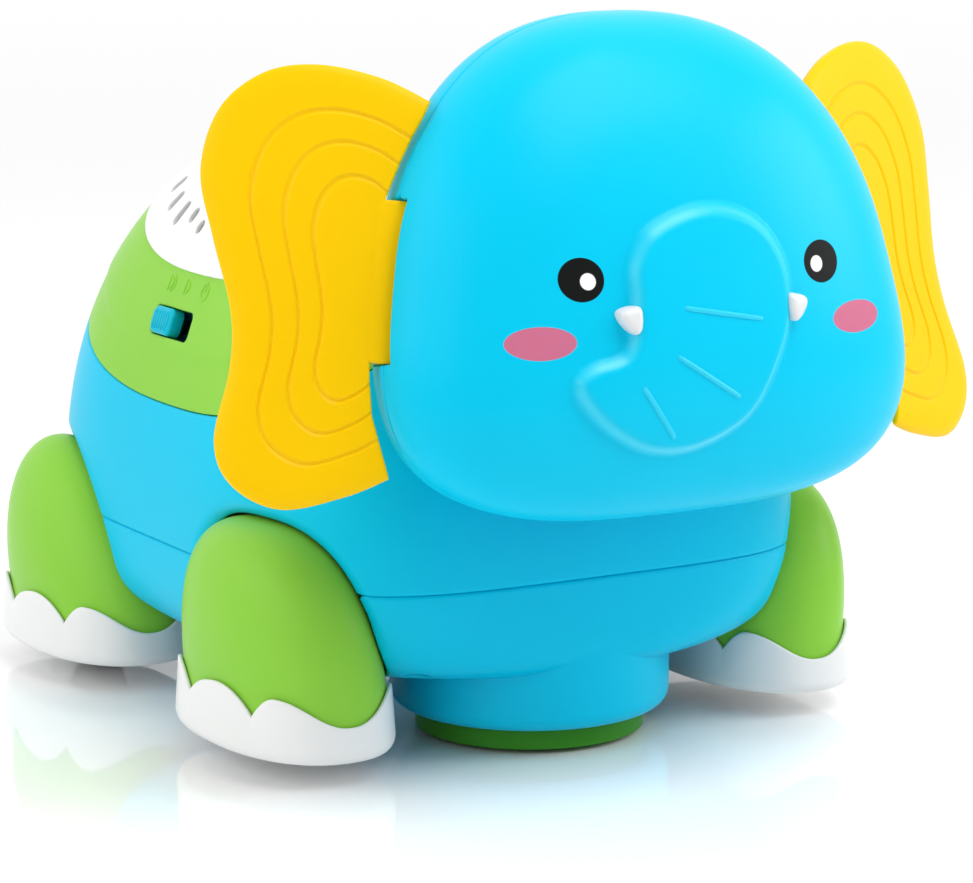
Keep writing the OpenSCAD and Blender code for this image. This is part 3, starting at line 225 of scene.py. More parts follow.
class Wire:
    """A socket of a node tree; sums and products of wires add Math nodes."""

    def __init__(self, tree, socket=None):
        self.tree, self.socket = tree, socket

    def add(self, kind, settings=None, out=0, **values):
        made = self.tree.nodes.new(kind)
        for key, value in (settings or {}).items():
            setattr(made, key, value)
        for key, value in values.items():
            end = made.inputs[int(key[1:])] if key[1:].isdigit() else made.inputs[key.replace("_", " ")]
            if isinstance(value, Wire):
                self.tree.links.new(value.socket, end)
            else:
                end.default_value = value
        return Wire(self.tree, made.outputs[out])

    def math(self, name, *terms):
        return self.add("ShaderNodeMath", {"operation": name}, **{f"i{k}": t for k, t in enumerate(terms)})

    def of_two(name):
        return lambda self, other: self.math(name, self, other)

    __add__ = __radd__ = of_two("ADD")
    __mul__ = __rmul__ = of_two("MULTIPLY")
    __sub__, __truediv__, __pow__ = of_two("SUBTRACT"), of_two("DIVIDE"), of_two("POWER")

    def __rsub__(self, other):
        return self.math("SUBTRACT", other, self)

    def __abs__(self):
        return self.math("ABSOLUTE", self)

    def clear(self):
        """The value held between 0 and 1."""
        return self.add("ShaderNodeMath", {"operation": "ADD", "use_clamp": True}, i0=self, i1=0.0)

    def mix(self, one, other):
        """Colour one where this is 0, the other where it is 1."""
        return self.add("ShaderNodeMix", {"data_type": "RGBA"}, 2, i0=self, i6=one, i7=other)

    def turns(self):
        """Its cosine and sine."""
        return self.math("COSINE", self), self.math("SINE", self)

    def axes(self):
        split = self.add("ShaderNodeSeparateXYZ", Vector=self)
        return [Wire(self.tree, split.socket.node.outputs[k]) for k in range(3)]


def moulded(name, colour, rough=0.32, drift=0.05, peel=0.02, shine=0.1, metal=0.0, paint=None):
    """A moulded finish: a slow drift in its tint, flow marks in its gloss and a fine-grained skin."""
    made = bpy.data.materials.new(name)
    made.use_nodes = True
    tree = made.node_tree
    shader = next(n for n in tree.nodes if n.type == "BSDF_PRINCIPLED")
    shader.inputs["Specular IOR Level"].default_value = shine
    shader.inputs["Metallic"].default_value = metal
    start = Wire(tree)
    place = start.add("ShaderNodeTexCoord", out=3)
    slow = start.add("ShaderNodeTexNoise", Vector=place, Scale=14.0, Detail=2.0)
    flow = start.add("ShaderNodeTexNoise", Vector=place, Scale=160.0, Detail=3.0)
    grain = start.add("ShaderNodeTexNoise", Vector=place, Scale=2600.0, Detail=1.0)
    dark = tuple(c * (1 - drift) for c in colour) + (1,)
    pale = tuple(min(1, c * (1 + drift) + 0.02 * drift) for c in colour) + (1,)
    tint = slow.mix(dark, pale)
    gloss = rough * (0.84 + 0.2 * flow + 0.12 * slow)
    feeds = {}
    if paint:
        tint, gloss, feeds["Coat Weight"] = paint(place, tint, gloss)
        shader.inputs["Coat Roughness"].default_value = 0.25
    feeds["Base Color"], feeds["Roughness"] = tint, gloss
    feeds["Normal"] = start.add("ShaderNodeBump", Strength=peel, Distance=0.0004, Height=grain)
    for key, wire in feeds.items():
        tree.links.new(wire.socket, shader.inputs[key])
    return made


sky_colour = (0.0, 0.53, 0.78)
sky_blue = moulded("sky_blue_plastic", sky_colour)

# The legs' sizes are here because both shells are cut for them. Each pair has its name, its Y, the
# height where its curve starts, its rise, the power of that curve and its lean to the back.
leg_w, leg_l, leg_foot = 37.0, 64.2, 8.4
leg_x, leg_power, leg_lean, lean_z = 62.0, 2.26, 0.112, 20.0
front_y, rear_y, leg_gap = -26.6747, 75.5253, 0.4
leg_set = (("front", front_y, 10.4, 44.6, 2.8, 0.0), ("rear", rear_y, 15.0, 41.8, 1.95, 0.25))
arch_round, arch_low, arch_fade = 3.4, 22, 16


def clear_of_legs(points):
    """Distance outside the pockets that the legs sit in, on both sides of the body."""
    far = np.full(len(points), uncut)
    for _, y, base, rise, power, back in leg_set:
        def level(p):
            over = np.maximum(0, p[:, 2] - lean_z)
            u = (np.abs(p[:, 0]) - leg_x - leg_lean * over) / (leg_w / 2 + leg_gap)
            v = (p[:, 1] - y - back * over) / (leg_l / 2 + leg_gap)
            height = np.maximum(0, p[:, 2] - base) / (rise + leg_gap)
            return squared_size(squared_size(u, v, leg_power), height, power)
        far = np.minimum(far, away(level, points))
    return far


def arched(points, quads):
    """The skin rolled in towards each leg, over the last few millimetres of its arch."""
    near = np.clip(arch_round - np.maximum(clear_of_legs(points), 0.2), 0, None)
    near *= step(points[:, 2] - arch_low, arch_fade)
    sunk = arch_round - np.sqrt(arch_round ** 2 - near ** 2)
    return points - normals_of(points, quads) * sunk[:, None]


disc_y, disc_r, sole_z = -30.6747, 26.6, 6.2
skirt_r, skirt_in, skirt_roll, skirt_top = disc_r + 6, disc_r + 0.8, 4, 34
door_x, door_y0, door_y1, under_z = 26.0, 17.3753, 83.6753, 30
well_r, well_z, well_around = 3.0, 24.2, 40
wells = [(side * x, body_y + dy) for side in (-1, 1) for x, dy in ((40.5, -72.7), (37.7, 66.9))]
rows = []
for k in np.concatenate([[-0.07], 1 - (1 - np.linspace(0, 1, 60)) ** 1.5]):
    depth = max(k, 0) * (seam_z - belly_z)
    px, py = squared(circle(body_around), plan_power - belly_round * (depth / belly_drop) ** 1.78)
    soft = step(py + 0.72, 0.45)
    drop = belly_drop + (flank_drop - belly_drop) * soft
    s = lift(depth / drop, 1 / ((1 - soft) / belly_power + soft / flank_power))
    height = np.full(body_around, seam_z - k * (seam_z - belly_z))
    rows.append(np.stack([body_w / 2 * s * px, body_y + body_l / 2 * s * py, height], 1))
middle = np.array([0, body_y, belly_z])
rows += [middle + (rows[-1] - middle) * k for k in np.linspace(1, 0, 60)[1:-1]] + [middle[None]]
points, quads = skin(rows, flip=True)
x, y, z = points.T
from_disc = np.where(z < skirt_top, np.hypot(x, y - disc_y) - skirt_r + 1.5, uncut)
keep = np.minimum.reduce([seam_z - z, clear_of_legs(points), from_disc])
door = np.maximum(np.abs(x) - door_x, np.maximum(door_y0 - y, y - door_y1))
for hole in [door] + [np.hypot(x - qx, y - qy) - well_r for qx, qy in wells]:
    keep = np.minimum(keep, np.where(z < under_z, hole, uncut))
shell = moulding(arched(points, quads), quads, keep, edge=shell_edge)
profile = [(skirt_in, 30), (skirt_in, sole_z + 0.5), (skirt_in + 0.5, sole_z)]
profile.append((skirt_r - skirt_roll, sole_z))
for a in np.radians(np.arange(9, 91, 9)):
    profile.append((skirt_r - skirt_roll * (1 - math.sin(a)), sole_z + skirt_roll * (1 - math.cos(a))))
profile += [(skirt_r, 20), (skirt_r, skirt_top), (skirt_in, skirt_top), (skirt_in, 30)]
skirt = skin([row + (0, disc_y, 0) for row in lathe(profile, 160)])
under = points[points[:, 2] < under_z]
seat = np.full(well_around, well_z)
tubes = []
for q in wells:
    ring = lathe([(well_r - 0.05, 0)], well_around)[0][:, :2] + q
    mouth = [under[np.argmin(np.hypot(*(under[:, :2] - p).T)), 2] + 0.35 for p in ring]
    tubes.append(skin([np.column_stack([ring, mouth]), np.column_stack([ring, seat]),
                       np.column_stack([q + (ring - q) * 0.48, seat])], flip=True))
piece("lower_shell", *joined(shell, skirt, *tubes), sky_blue, "elephant", "blue_shell", "body_lower")

# Gearbox: a grey nylon housing screwed down over the skirt from above, with the motor, its pinion and
# two white gears on steel pins. The screws are plated pan heads with a thread and a cross recess.
thread_pitch, thread_deep, head_round, cross_w, cross_l = 2.0, 0.1, 0.45, 0.5, 1.6


def size_tree(name, **sizes):
    """A geometry tree with named sizes in millimetres, and a wire for each of its inputs."""
    tree = bpy.data.node_groups.new(name, "GeometryNodeTree")
    tree.interface.new_socket("Places", in_out="INPUT", socket_type="NodeSocketGeometry")
    for key, value in sizes.items():
        socket = tree.interface.new_socket(key, in_out="INPUT", socket_type="NodeSocketFloat")
        socket.default_value = value
    tree.interface.new_socket("Finish", in_out="INPUT", socket_type="NodeSocketMaterial")
    tree.interface.new_socket("Geometry", in_out="OUTPUT", socket_type="NodeSocketGeometry")
    start = tree.nodes.new("NodeGroupInput")
    return {socket.name: Wire(tree, socket) for socket in start.outputs if socket.name}


def sheet_of(start, across, up):
    """A grid in a geometry tree with its two parameters, each from 0 to 1."""
    grid = start.add("GeometryNodeMeshGrid", Size_X=1.0, Size_Y=1.0, Vertices_X=across, Vertices_Y=up)
    u, v, _ = start.add("GeometryNodeInputPosition").axes()
    return grid, u + 0.5, v + 0.5


def shaped(grid, x, y, z):
    """The grid laid on a form, with its seams and poles closed."""
    spot = grid.add("ShaderNodeCombineXYZ", X=x, Y=y, Z=z)
    laid = grid.add("GeometryNodeSetPosition", Geometry=grid, Position=spot)
    return grid.add("GeometryNodeMergeByDistance", Geometry=laid, Distance=0.002)


def repeated(form, places, finish):
    """Closes a tree: the form at each place, turned along the place's aim, as real faces in metres."""
    aim = form.add("GeometryNodeInputNamedAttribute", {"data_type": "FLOAT_VECTOR"}, Name="aim")
    turned = form.add("FunctionNodeAlignRotationToVector", {"axis": "Z"}, Vector=aim)
    many = form.add("GeometryNodeInstanceOnPoints", Points=places, Instance=form, Rotation=turned)
    small = form.add("GeometryNodeTransform", Geometry=many, Scale=(mm, mm, mm))
    real = form.add("GeometryNodeRealizeInstances", Geometry=small)
    done = form.add("GeometryNodeSetMaterial", Geometry=real, Material=finish)
    end = form.tree.nodes.new("NodeGroupOutput")
    form.tree.links.new(done.socket, end.inputs[0])
    return form.tree


def grown(name, tree, places, aims, material, body, slot, *nodes, **sizes):
    """A plain mesh grown from a tree at places in millimetres, each with the direction it points in.
    The tree's own empty finish, its first, is taken off it."""
    seed = bpy.data.meshes.new(name + "_places")
    seed.from_pydata([tuple(map(float, p)) for p in places], [], [])
    aim = seed.attributes.new("aim", "FLOAT_VECTOR", "POINT")
    aim.data.foreach_set("vector", np.ravel(np.array(aims, np.float32)))
    obj = shown(name, seed)
    made = obj.modifiers.new(name, "NODES")
    made.node_group = tree
    for socket in tree.interface.items_tree:
        if socket.in_out == "INPUT" and socket.name in sizes:
            made[socket.identifier] = sizes[socket.name]
        if socket.name == "Finish":
            made[socket.identifier] = material
    mesh = bpy.data.meshes.new_from_object(obj.evaluated_get(bpy.context.evaluated_depsgraph_get()))
    mesh.materials.pop(index=0)
    obj.modifiers.remove(made)
    obj.data = mesh
    settled(obj, body, nodes)


def dress(material, *nodes):
    """Gives CAD nodes that keep their shape a finish."""
    for node in nodes:
        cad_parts[node].data.materials.clear()
        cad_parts[node].data.materials.append(material)


ends = size_tree("screw", Head=2.7, Height=1.8, Shank=1.25, Length=12.0)
head, tall, shank, long = (ends[k] for k in ("Head", "Height", "Shank", "Length"))
grid, u, v = sheet_of(head, 33, 120)
turned = u * (2 * math.pi)
c, s = turned.turns()
stretches = ((0, 0.55), (0.55, 0.05), (0.6, 0.1), (0.7, 0.1), (0.8, 0.2))
on_shank, under, side_up, corner, top = (((v - a) / b).clear() for a, b in stretches)
down = long * (1 - on_shank)
wind = turned.math("SINE", down * (2 * math.pi / thread_pitch) - turned)
stem = shank * (on_shank * 8).clear() * ((1 - thread_deep) + thread_deep * wind)
bend_in, bend_up = (corner * (math.pi / 2)).turns()
r = stem + (head - stem) * under - head_round * tall * (1 - bend_in)
r = r - top * (head - head_round * tall)
x, y = r * c, r * s
narrow, wide = x.math("MINIMUM", abs(x), abs(y)), x.math("MAXIMUM", abs(x), abs(y))
recess = ((cross_w - narrow) * 6).clear() * ((cross_l - wide) * 4).clear() * (top * 50).clear()
z = down - (1 - head_round) * tall * side_up - head_round * tall * bend_up + recess * (0.6 * tall)
screw = repeated(shaped(grid, y, x, z), ends["Places"], ends["Finish"])

steel = moulded("bright_steel", (0.58, 0.58, 0.57), rough=0.3, shine=0.5, metal=1.0)
grey = moulded("grey_nylon", (0.32, 0.33, 0.34), rough=0.5)
gear_white = moulded("pale_gear_plastic", (0.72, 0.71, 0.66), rough=0.45)


def screwed(name, places, aims, node, length):
    """Screws with the undersides of their heads at these places, their tips along the aims."""
    grown(name, screw, places, aims, steel, "elephant", "steel", node, Length=length)


dress(grey, "gearbox_housing", "gearbox_cover")
dress(gear_white, "motor_pinion", "reduction_gear", "drive_shaft")
dress(steel, "motor", "reduction_pin")
post_r, post_z = 29.2, 23.0
posts = np.radians([25, 155, 215, 325])
at = [(post_r * math.cos(a), disc_y + post_r * math.sin(a), post_z) for a in posts]
screwed("gearbox_screw_set", at, [(0, 0, -1)] * 4, "gearbox_screws", 11.8)

# Turntable: a dark green disc that swivels in the skirt, with a grey cover and a steel clip over its hub.
# Two white wheels with ribbed rubber tyres turn on a steel axle in it, driven through a crown gear.
hands = ((1, "left"), (-1, "right"))
wheel_x, wheel_r, tyre_power = 15.5, 8.0, 5.0
dress(moulded("turntable_green", (0.05, 0.27, 0.02), rough=0.38), "turntable")
dress(grey, "turntable_cover")
dress(steel, "turntable_clip", "wheel_axle")
dress(gear_white, "crown_gear", "wheel_left", "wheel_right")
rubber = moulded("black_rubber", (0.02, 0.02, 0.02), rough=0.75, peel=0.1)
ends = size_tree("ribbed_tyre", Radius=wheel_r, Width=6.0, Wall=1.6, Ribs=28.0, Depth=0.35)
grid, u, v = sheet_of(ends["Radius"], 337, 33)
turned, across = u * (2 * math.pi), v * (2 * math.pi)
c, s = across.turns()
size = (abs(c) ** tyre_power + abs(s) ** tyre_power) ** (-1 / tyre_power)
out, z = size * c, size * s * ends["Width"] * 0.5
wave = turned.math("SINE", turned * ends["Ribs"] + 0.5 * abs(z))
groove = (0.5 + 2.5 * wave).clear() * ((out - 0.7) * 5).clear()
r = ends["Radius"] - ends["Wall"] * 0.5 * (1 - out) - ends["Depth"] * groove
c, s = turned.turns()
tyre = repeated(shaped(grid, r * c, r * s, z), ends["Places"], ends["Finish"])
for side, hand in hands:
    grown(f"tyre_{hand}_ribbed", tyre, [(side * wheel_x, disc_y, wheel_r)], [(1, 0, 0)], rubber,
          "drive_wheels", "tyre_rubber", f"tyre_{hand}")

# Power: a grey battery box over the belly opening with three sleeved cells and sprung strips, a green
# circuit board above it, and a blue door held by one screw, flush with the belly.
dress(grey, "battery_box")
dress(moulded("cell_sleeve", (0.35, 0.12, 0.02), rough=0.3), "battery_cells")
dress(moulded("board_lacquer", (0.01, 0.12, 0.04), rough=0.4), "main_board")
dress(steel, "battery_contacts")
dress(sky_blue, "battery_door")
screwed("door_screw", [(0, 20.7753, 19.6)], [(0, 0, 1)], "battery_door_screw", 6.4)

# Legs: four hollow lime-green domes on one rule of squared curves, leaning out a little as they rise.
# The front ones have a flatter top, the rear ones lean back. A screw from inside the body holds each.
lime = moulded("lime_plastic", (0.25, 0.575, 0.055))
foot_part, leg_screw_x, leg_screw_z = 0.04, 39.9772, 30
ends = size_tree("leg_dome", Width=leg_w, Length=leg_l, Rise=46.4, Base=10.4, Wall=2.4, Lean=leg_lean,
                 Back=0.0, Lean_Start=lean_z, Plan_Power=leg_power, Rise_Power=2.5)
grid, u, v = sheet_of(ends["Width"], 181, 125)
hollow = v.math("LESS_THAN", v, 0.5) * ends["Wall"]
way = abs(v * 2 - 1)
turned, climb = u * (2 * math.pi), ((way - foot_part) / (1 - foot_part)).clear() * (math.pi / 2)
c, s = turned.turns()
size = (abs(c) ** ends["Plan_Power"] + abs(s) ** ends["Plan_Power"]) ** (-1.0 / leg_power)
over, up = climb.turns()
z_power = climb.math("DIVIDE", -1.0, ends["Rise_Power"])
rise = (abs(over) ** ends["Rise_Power"] + abs(up) ** ends["Rise_Power"]) ** z_power
foot = (ends["Base"] - leg_foot) * (1 - (way / foot_part).clear())
z = ends["Base"] - foot + rise * up * (ends["Rise"] - hollow)
high = z.math("MAXIMUM", z - ends["Lean_Start"], 0.0)
x = ends["Lean"] * high + size * c * rise * over * (ends["Width"] * 0.5 - hollow)
y = ends["Back"] * high + size * s * rise * over * (ends["Length"] * 0.5 - hollow)
leg = repeated(shaped(grid, x, y, z), ends["Places"], ends["Finish"])
for where, y, base, rise, power, back in leg_set:
    for side, hand in hands:
        grown(f"leg_{where}_{hand}_dome", leg, [(side * leg_x, y, 0)], [(0, 0, 1)], lime,
              "elephant", "green_shell", f"leg_{where}_{hand}",
              Base=base, Rise=rise, Rise_Power=power, Lean=side * leg_lean, Back=back)
at = [(side * leg_screw_x, y, leg_screw_z) for side in (-1, 1) for y in (front_y, rear_y)]
screwed("leg_screw_set", at, [(side, 0, 0) for side in (-1, -1, 1, 1)], "leg_screws", 13.2)

# Shoes: white caps pressed on the legs from below, with a scalloped edge of toes. The rear ones have a
# slot with a rubber roller on a steel pin, on which the toy follows its drive.
white = moulded("white_plastic", (0.80, 0.80, 0.80), rough=0.3, drift=0.02, shine=0.3)
dress(rubber, "roller_left", "roller_right")
dress(steel, "roller_pins")
dip_to, toes_from, toe_wide = 46, 60, 44
shoe_fit, shoe_wall, shoe_tip, sole_round, sole_thick = 0.1, 1.8, 0.6, 2.8, 2.4
roller_slot_x, roller_slot_y = 5.3, 10.1
turn = circle(264)


def toe_edge(t):
    """Height of a shoe's edge above its sole, round the leg from the front."""
    a = np.abs((np.degrees(t) + 180) % 360 - 180)
    dip = 8 + 6.2 * (1 - np.cos(np.pi * a / dip_to)) / 2
    side = 14.2 - 4.9 * ((a - dip_to) / (toes_from - dip_to)) ** 2
    toes = 9.3 + 5.6 * np.abs(np.sin(np.pi * ((a - toes_from) % toe_wide) / toe_wide)) ** 0.8
    return np.where(a <= dip_to, dip, np.where(a <= toes_from, side, toes))


def shoe_row(grow, h):
    """Points round a left shoe at a height, grown from the leg's foot, with the leg's middle at Y = 0."""
    h = np.broadcast_to(h, turn.shape)
    c, s = np.sin(turn), np.cos(turn)
    u = (leg_w / 2 + grow) * np.sign(c) * np.abs(c) ** (2 / leg_power)
    v = (leg_l / 2 + grow) * np.sign(s) * np.abs(s) ** (2 / leg_power)
    return np.stack([leg_x + leg_lean * np.maximum(0, h - lean_z) + u, -v, h], 1)


tip = sole_z + toe_edge(turn)
sole = np.array([[leg_x, 0, sole_z]])
rows = [sole] + [sole + (shoe_row(shoe_fit, sole_z) - sole) * k for k in np.linspace(0.04, 1, 16)]
for a in np.radians(np.arange(15, 91, 15)):
    rows.append(shoe_row(shoe_fit + shoe_wall * math.sin(a), sole_z + sole_round * (1 - math.cos(a))))
for k in np.linspace(0.12, 1, 10):
    rows.append(shoe_row(shoe_fit + shoe_wall - 0.75 * k, sole_z + sole_round + (tip - sole_z - 3.4) * k))
for a in np.radians([30, 60, 90, 120, 150]):
    rows.append(shoe_row(0.62 + 0.53 * math.cos(a), tip - shoe_tip * (1 - math.sin(a))))
for grow, h in ((shoe_fit, tip - 0.8), (shoe_fit, sole_z + sole_thick), (-5, sole_z + sole_thick)):
    rows.append(shoe_row(grow, h))
points, quads = skin(rows[::-1], flip=True)
slot = np.maximum(np.abs(points[:, 0] - leg_x) - roller_slot_x, np.abs(points[:, 1]) - roller_slot_y)
slot = np.where(points[:, 2] < sole_z + 0.01, slot, uncut)
for where, y, *_ in leg_set:
    keep = slot if where == "rear" else np.full(len(points), uncut)
    cap, faces = moulding(points, quads, keep, wall=2, edge=0.3, inner=False)
    for side, hand in hands:
        piece(f"shoe_{where}_{hand}_cap", cap * (side, 1, 1) + (0, y, 0), [ring[::side] for ring in faces],
              white, "elephant", "white_plastic", f"shoe_{where}_{hand}")

# Upper body shell: the domed upper half in the same blue ABS, held by four long screws from below.
# Its lower rim arches over the legs, its top is open for the saddle, and the neck enters in front.
body_rise, rise_power = 99.6, 2.23
smile_power, smile_top, smile_y = 2.5, 137.0, 20.9253
saddle_reach, saddle_drop = 88, 63
head_y, head_z, neck_z, neck_r = -75.4247, 115.0, 96.0, 20.0


def levels_up(start, count):
    """Shares of the rise from a start to just under 1, closer together towards the top."""
    return start + (1 - start) * np.sin(np.linspace(0, np.pi / 2, count))[:-1]


def dome(grow, around, levels):
    """Skin of the upper body form through levels of its rise, closed at its top."""
    px, py = squared(circle(around), plan_power)
    px, py = (body_w / 2 + grow) * px, (body_l / 2 + grow) * py
    rows = []
    for d in levels:
        s = lift(max(d, 0), rise_power)
        height = np.full(around, seam_z + d * (body_rise + grow))
        rows.append(np.stack([s * px, body_y + s * py, height], 1))
    rows.append(np.array([[0, body_y, seam_z + body_rise + grow]]))
    return skin(rows)


def off_smile(points, reach, drop):
    """Distance outside the smile-shaped edge that the saddle, its pad and the speaker cover share."""
    def level(p):
        over = np.maximum(smile_top - p[:, 2], 0)
        return squared_size((p[:, 1] - smile_y) / reach, over / drop, smile_power)
    return away(level, points)


def clear_of_neck(points, r):
    """Distance outside a round hole for the neck, in the front of the body."""
    return np.where(points[:, 1] < body_y - 40, np.hypot(points[:, 0], points[:, 2] - neck_z) - r, uncut)


flank_levels = np.linspace(-0.02, 0.22, 40)
points, quads = dome(0, body_around, np.concatenate([flank_levels[:-1], levels_up(0.22, 90)]))
keep = np.minimum.reduce([off_smile(points, saddle_reach, saddle_drop), points[:, 2] - seam_z,
                          clear_of_legs(points), clear_of_neck(points, neck_r + 0.3)])
shell = moulding(arched(points, quads), quads, keep, edge=shell_edge)
piece("upper_shell", *shell, sky_blue, "elephant", "blue_shell", "body_upper")
screwed("body_screw_set", [(qx, qy, well_z) for qx, qy in wells], [(0, 0, 1)] * 4, "body_screws", 27.5)

# Switch: a slide switch behind the right flank, coloured a dark teal that is painted shade for the saddle's
# opening, and its blue knob with fine ribs across the thumb's way. The knob slides in the saddle's opening.
switch_at = np.array([-62.9168, 27.1253, 92.0])
switch_turn = math.radians(19 - 90)
switch_up = np.array([math.cos(switch_turn), 0, -math.sin(switch_turn)])
switch_out = np.array([math.sin(switch_turn), 0, math.cos(switch_turn)])
switch_back = np.array([0.0, 1.0, 0.0])
knob_at = switch_at + switch_back * 4.5
knob_l, knob_h, knob_corner = 10.4, 6.6, 1.9
knob_foot, knob_wall, knob_top, knob_crown = -2.2, 0.3, 1.1, 1.15
rib_count, rib_pitch = 7, 1.15
# Painted shade: the switch seen through the opening is coloured dark teal to stand in for the shade that
# falls there.
dress(moulded("switch_painted_shade_teal", (0.002, 0.16, 0.21), rough=0.45), "slide_switch")
knob_blue = moulded("knob_plastic", (0.002, 0.44, 0.60))
corner = np.radians(np.arange(0, 91, 10))
loop = []
for sx, sy, a in ((1, 1, 0), (-1, 1, np.pi / 2), (-1, -1, np.pi), (1, -1, 1.5 * np.pi)):
    loop.append(np.stack([sx * (knob_h / 2 - knob_corner) + knob_corner * np.cos(a + corner),
                          sy * (knob_l / 2 - knob_corner) + knob_corner * np.sin(a + corner)], 1))
loop = np.concatenate(loop)
profile = [(0, knob_foot), (0, knob_wall)]
for a in np.radians(np.arange(15, 91, 15)):
    profile.append((0.3 * (1 - math.cos(a)), knob_wall + (knob_top - knob_wall) * math.sin(a)))
rows = []
for inset, h in profile:
    flat = loop * (1 - inset * knob_h / np.array([knob_h, knob_l]))
    rows.append(knob_at + flat[:, :1] * switch_up + flat[:, 1:] * switch_back + h * switch_out)
top = knob_at + knob_top * switch_out
rows += [top + (rows[-1] - top) * k for k in (0.6, 0.3)]
rows.append((knob_at + knob_crown * switch_out)[None])
points, quads = skin(rows)
faces = [list(range(len(loop)))[::-1]] + quads.tolist()
piece("knob_body", *joined((points, faces)), knob_blue, "switch_knob", "blue_knob", "switch_knob")
ends = size_tree("rib", Width=0.7, Height=0.55, Length=4.8)
ball = ends["Width"].add("GeometryNodeMeshUVSphere", Segments=16, Rings=12, Radius=1.0)
size = ball.add("ShaderNodeCombineXYZ", X=ends["Width"] * 0.5, Y=ends["Height"], Z=ends["Length"] * 0.5)
rib = repeated(ball.add("GeometryNodeTransform", Geometry=ball, Scale=size), ends["Places"], ends["Finish"])
at = [top + switch_back * rib_pitch * (k - rib_count // 2) for k in range(rib_count)]
grown("knob_ribs", rib, at, [switch_up] * rib_count, knob_blue, "switch_knob", "blue_knob")

# Saddle: a lime-green cap clipped over the back, with a slightly raised pad and the switch opening.
# Three small signs for the switch's places are moulded on its right flank, in its own colour.
pad_proud, pad_soft, pad_reach, pad_drop = 0.4, 1.6, 77, 52.4
cover_reach, cover_drop, saddle_gap = 57, 33, 0.15
slot_l, slot_h, slot_round = 20, 7.2, 1.6
sign_r, sign_z = 0.32, 100.6


def clear_of_slot(points):
    """Distance outside the switch opening's rounded rectangle, on the right flank."""
    v = np.abs(points[:, 1] - switch_at[1]) - slot_l / 2 + slot_round
    u = np.abs((points - switch_at) @ switch_up) - slot_h / 2 + slot_round
    gap = np.hypot(np.maximum(u, 0), np.maximum(v, 0)) + np.minimum(np.maximum(u, v), 0) - slot_round
    return np.where(points[:, 0] < 0, gap, uncut)


def flank_x(y, z):
    """Half width of the body form at a place on its flank."""
    s = lift((z - seam_z) / body_rise, rise_power)
    left = s ** plan_power - np.abs((y - body_y) / (body_l / 2)) ** plan_power
    return body_w / 2 * np.maximum(left, 0) ** (1 / plan_power)


def capped(rows):
    """A skin through closed rows, with a flat face at both ends."""
    points, quads = skin(rows)
    n = len(rows[0])
    return points, quads.tolist() + [list(range(n))[::-1], list(range(len(points) - n, len(points)))]


def bead(line):
    """A round bead along flat points (y, z) on the right flank, half sunk in the pad."""
    y, z = np.array(line, float).T
    path = np.stack([-flank_x(y, z) - pad_proud, y, z], 1)
    along = unit(np.gradient(path, axis=0))
    side = unit(np.cross(along, switch_out))
    over = np.cross(side, along)
    lines = [path + sign_r * (math.cos(a) * side + math.sin(a) * over) for a in circle(10)]
    return capped(list(np.stack(lines).transpose(1, 0, 2)))


def arc(cy, cz, ry, rz, a0, a1, count=24):
    """Flat points on part of an ellipse, between two angles in degrees."""
    a = np.radians(np.linspace(a0, a1, count))
    return np.stack([cy + ry * np.cos(a), cz + rz * np.sin(a)], 1)


points, quads = dome(0, 420, levels_up(0.1, 150))
pad = step(-off_smile(points, pad_reach, pad_drop), pad_soft)
raised = points + normals_of(points, quads) * (pad_proud * pad)[:, None]
keep = np.minimum.reduce([-off_smile(points, saddle_reach - saddle_gap, saddle_drop - saddle_gap),
                          off_smile(points, cover_reach, cover_drop),
                          clear_of_neck(points, neck_r + 3.8), clear_of_slot(points)])
cap = moulding(raised, quads, keep, edge=0.3)
signs = []
for at_y, waves in ((33.0, 2), (24.2, 1)):
    signs.append(bead(arc(at_y + 1.6, sign_z, 0.01, 1.7, -90, 90)))
    for k in range(waves):
        signs.append(bead(arc(at_y + 1.2, sign_z, -1.5 - 1.3 * k, 1.3 + 0.6 * k, -60, 60)))
signs.append(bead(arc(15.5, sign_z - 0.2, 1.7, 1.7, 120, 420)))
signs.append(bead(arc(15.5, sign_z + 1.0, 0.01, 1.1, -90, 90)))
piece("saddle_cap", *joined(cap, *signs), lime, "elephant", "green_shell", "saddle")

# Speaker: a black paper-cone loudspeaker under the top, and over it a glossy white cover in the saddle's
# opening, with fanned slits on both flanks. Each slit has its place behind the cover's middle, its
# height over the cover's edge, its length and its slant in degrees.
dress(moulded("speaker_paper", (0.03, 0.03, 0.03), rough=0.6), "speaker")
slit_set = ((11, 9, 3, 9), (17.3, 10.6, 3.4, 11), (24.2, 9.6, 6.2, 16),
            (31.4, 10, 5.4, 24), (37, 11.4, 5, 36))
slit_r, slit_end, slit_climb = 1.55, 0.9, math.radians(50)
cover_proud, cover_gap, cover_near = 0.8, 0.03, 4


def on_right(points):
    """The points with those of the left side mirrored to the right one."""
    return np.stack([-np.abs(points[:, 0]), points[:, 1], points[:, 2]], 1)


def clear_of_slits(points):
    """Distance outside the slits, each a capsule on the flank."""
    keep = np.full(len(points), uncut)
    up = np.array([math.cos(slit_climb), 0, math.sin(slit_climb)])
    for back, over, long, slant in slit_set:
        slant = math.radians(slant)
        along = up * math.cos(slant) - np.array([0, math.sin(slant), 0])
        at_y = smile_y + back
        at_z = smile_top - cover_drop * float(lift(back / cover_reach, smile_power)) + over
        gap = on_right(points) - np.array([-float(flank_x(at_y, at_z)), at_y, at_z])
        run = np.clip(gap @ along, slit_end - long / 2, long / 2 - slit_end)
        keep = np.minimum(keep, np.linalg.norm(gap - run[:, None] * along, axis=1) - slit_r)
    return keep


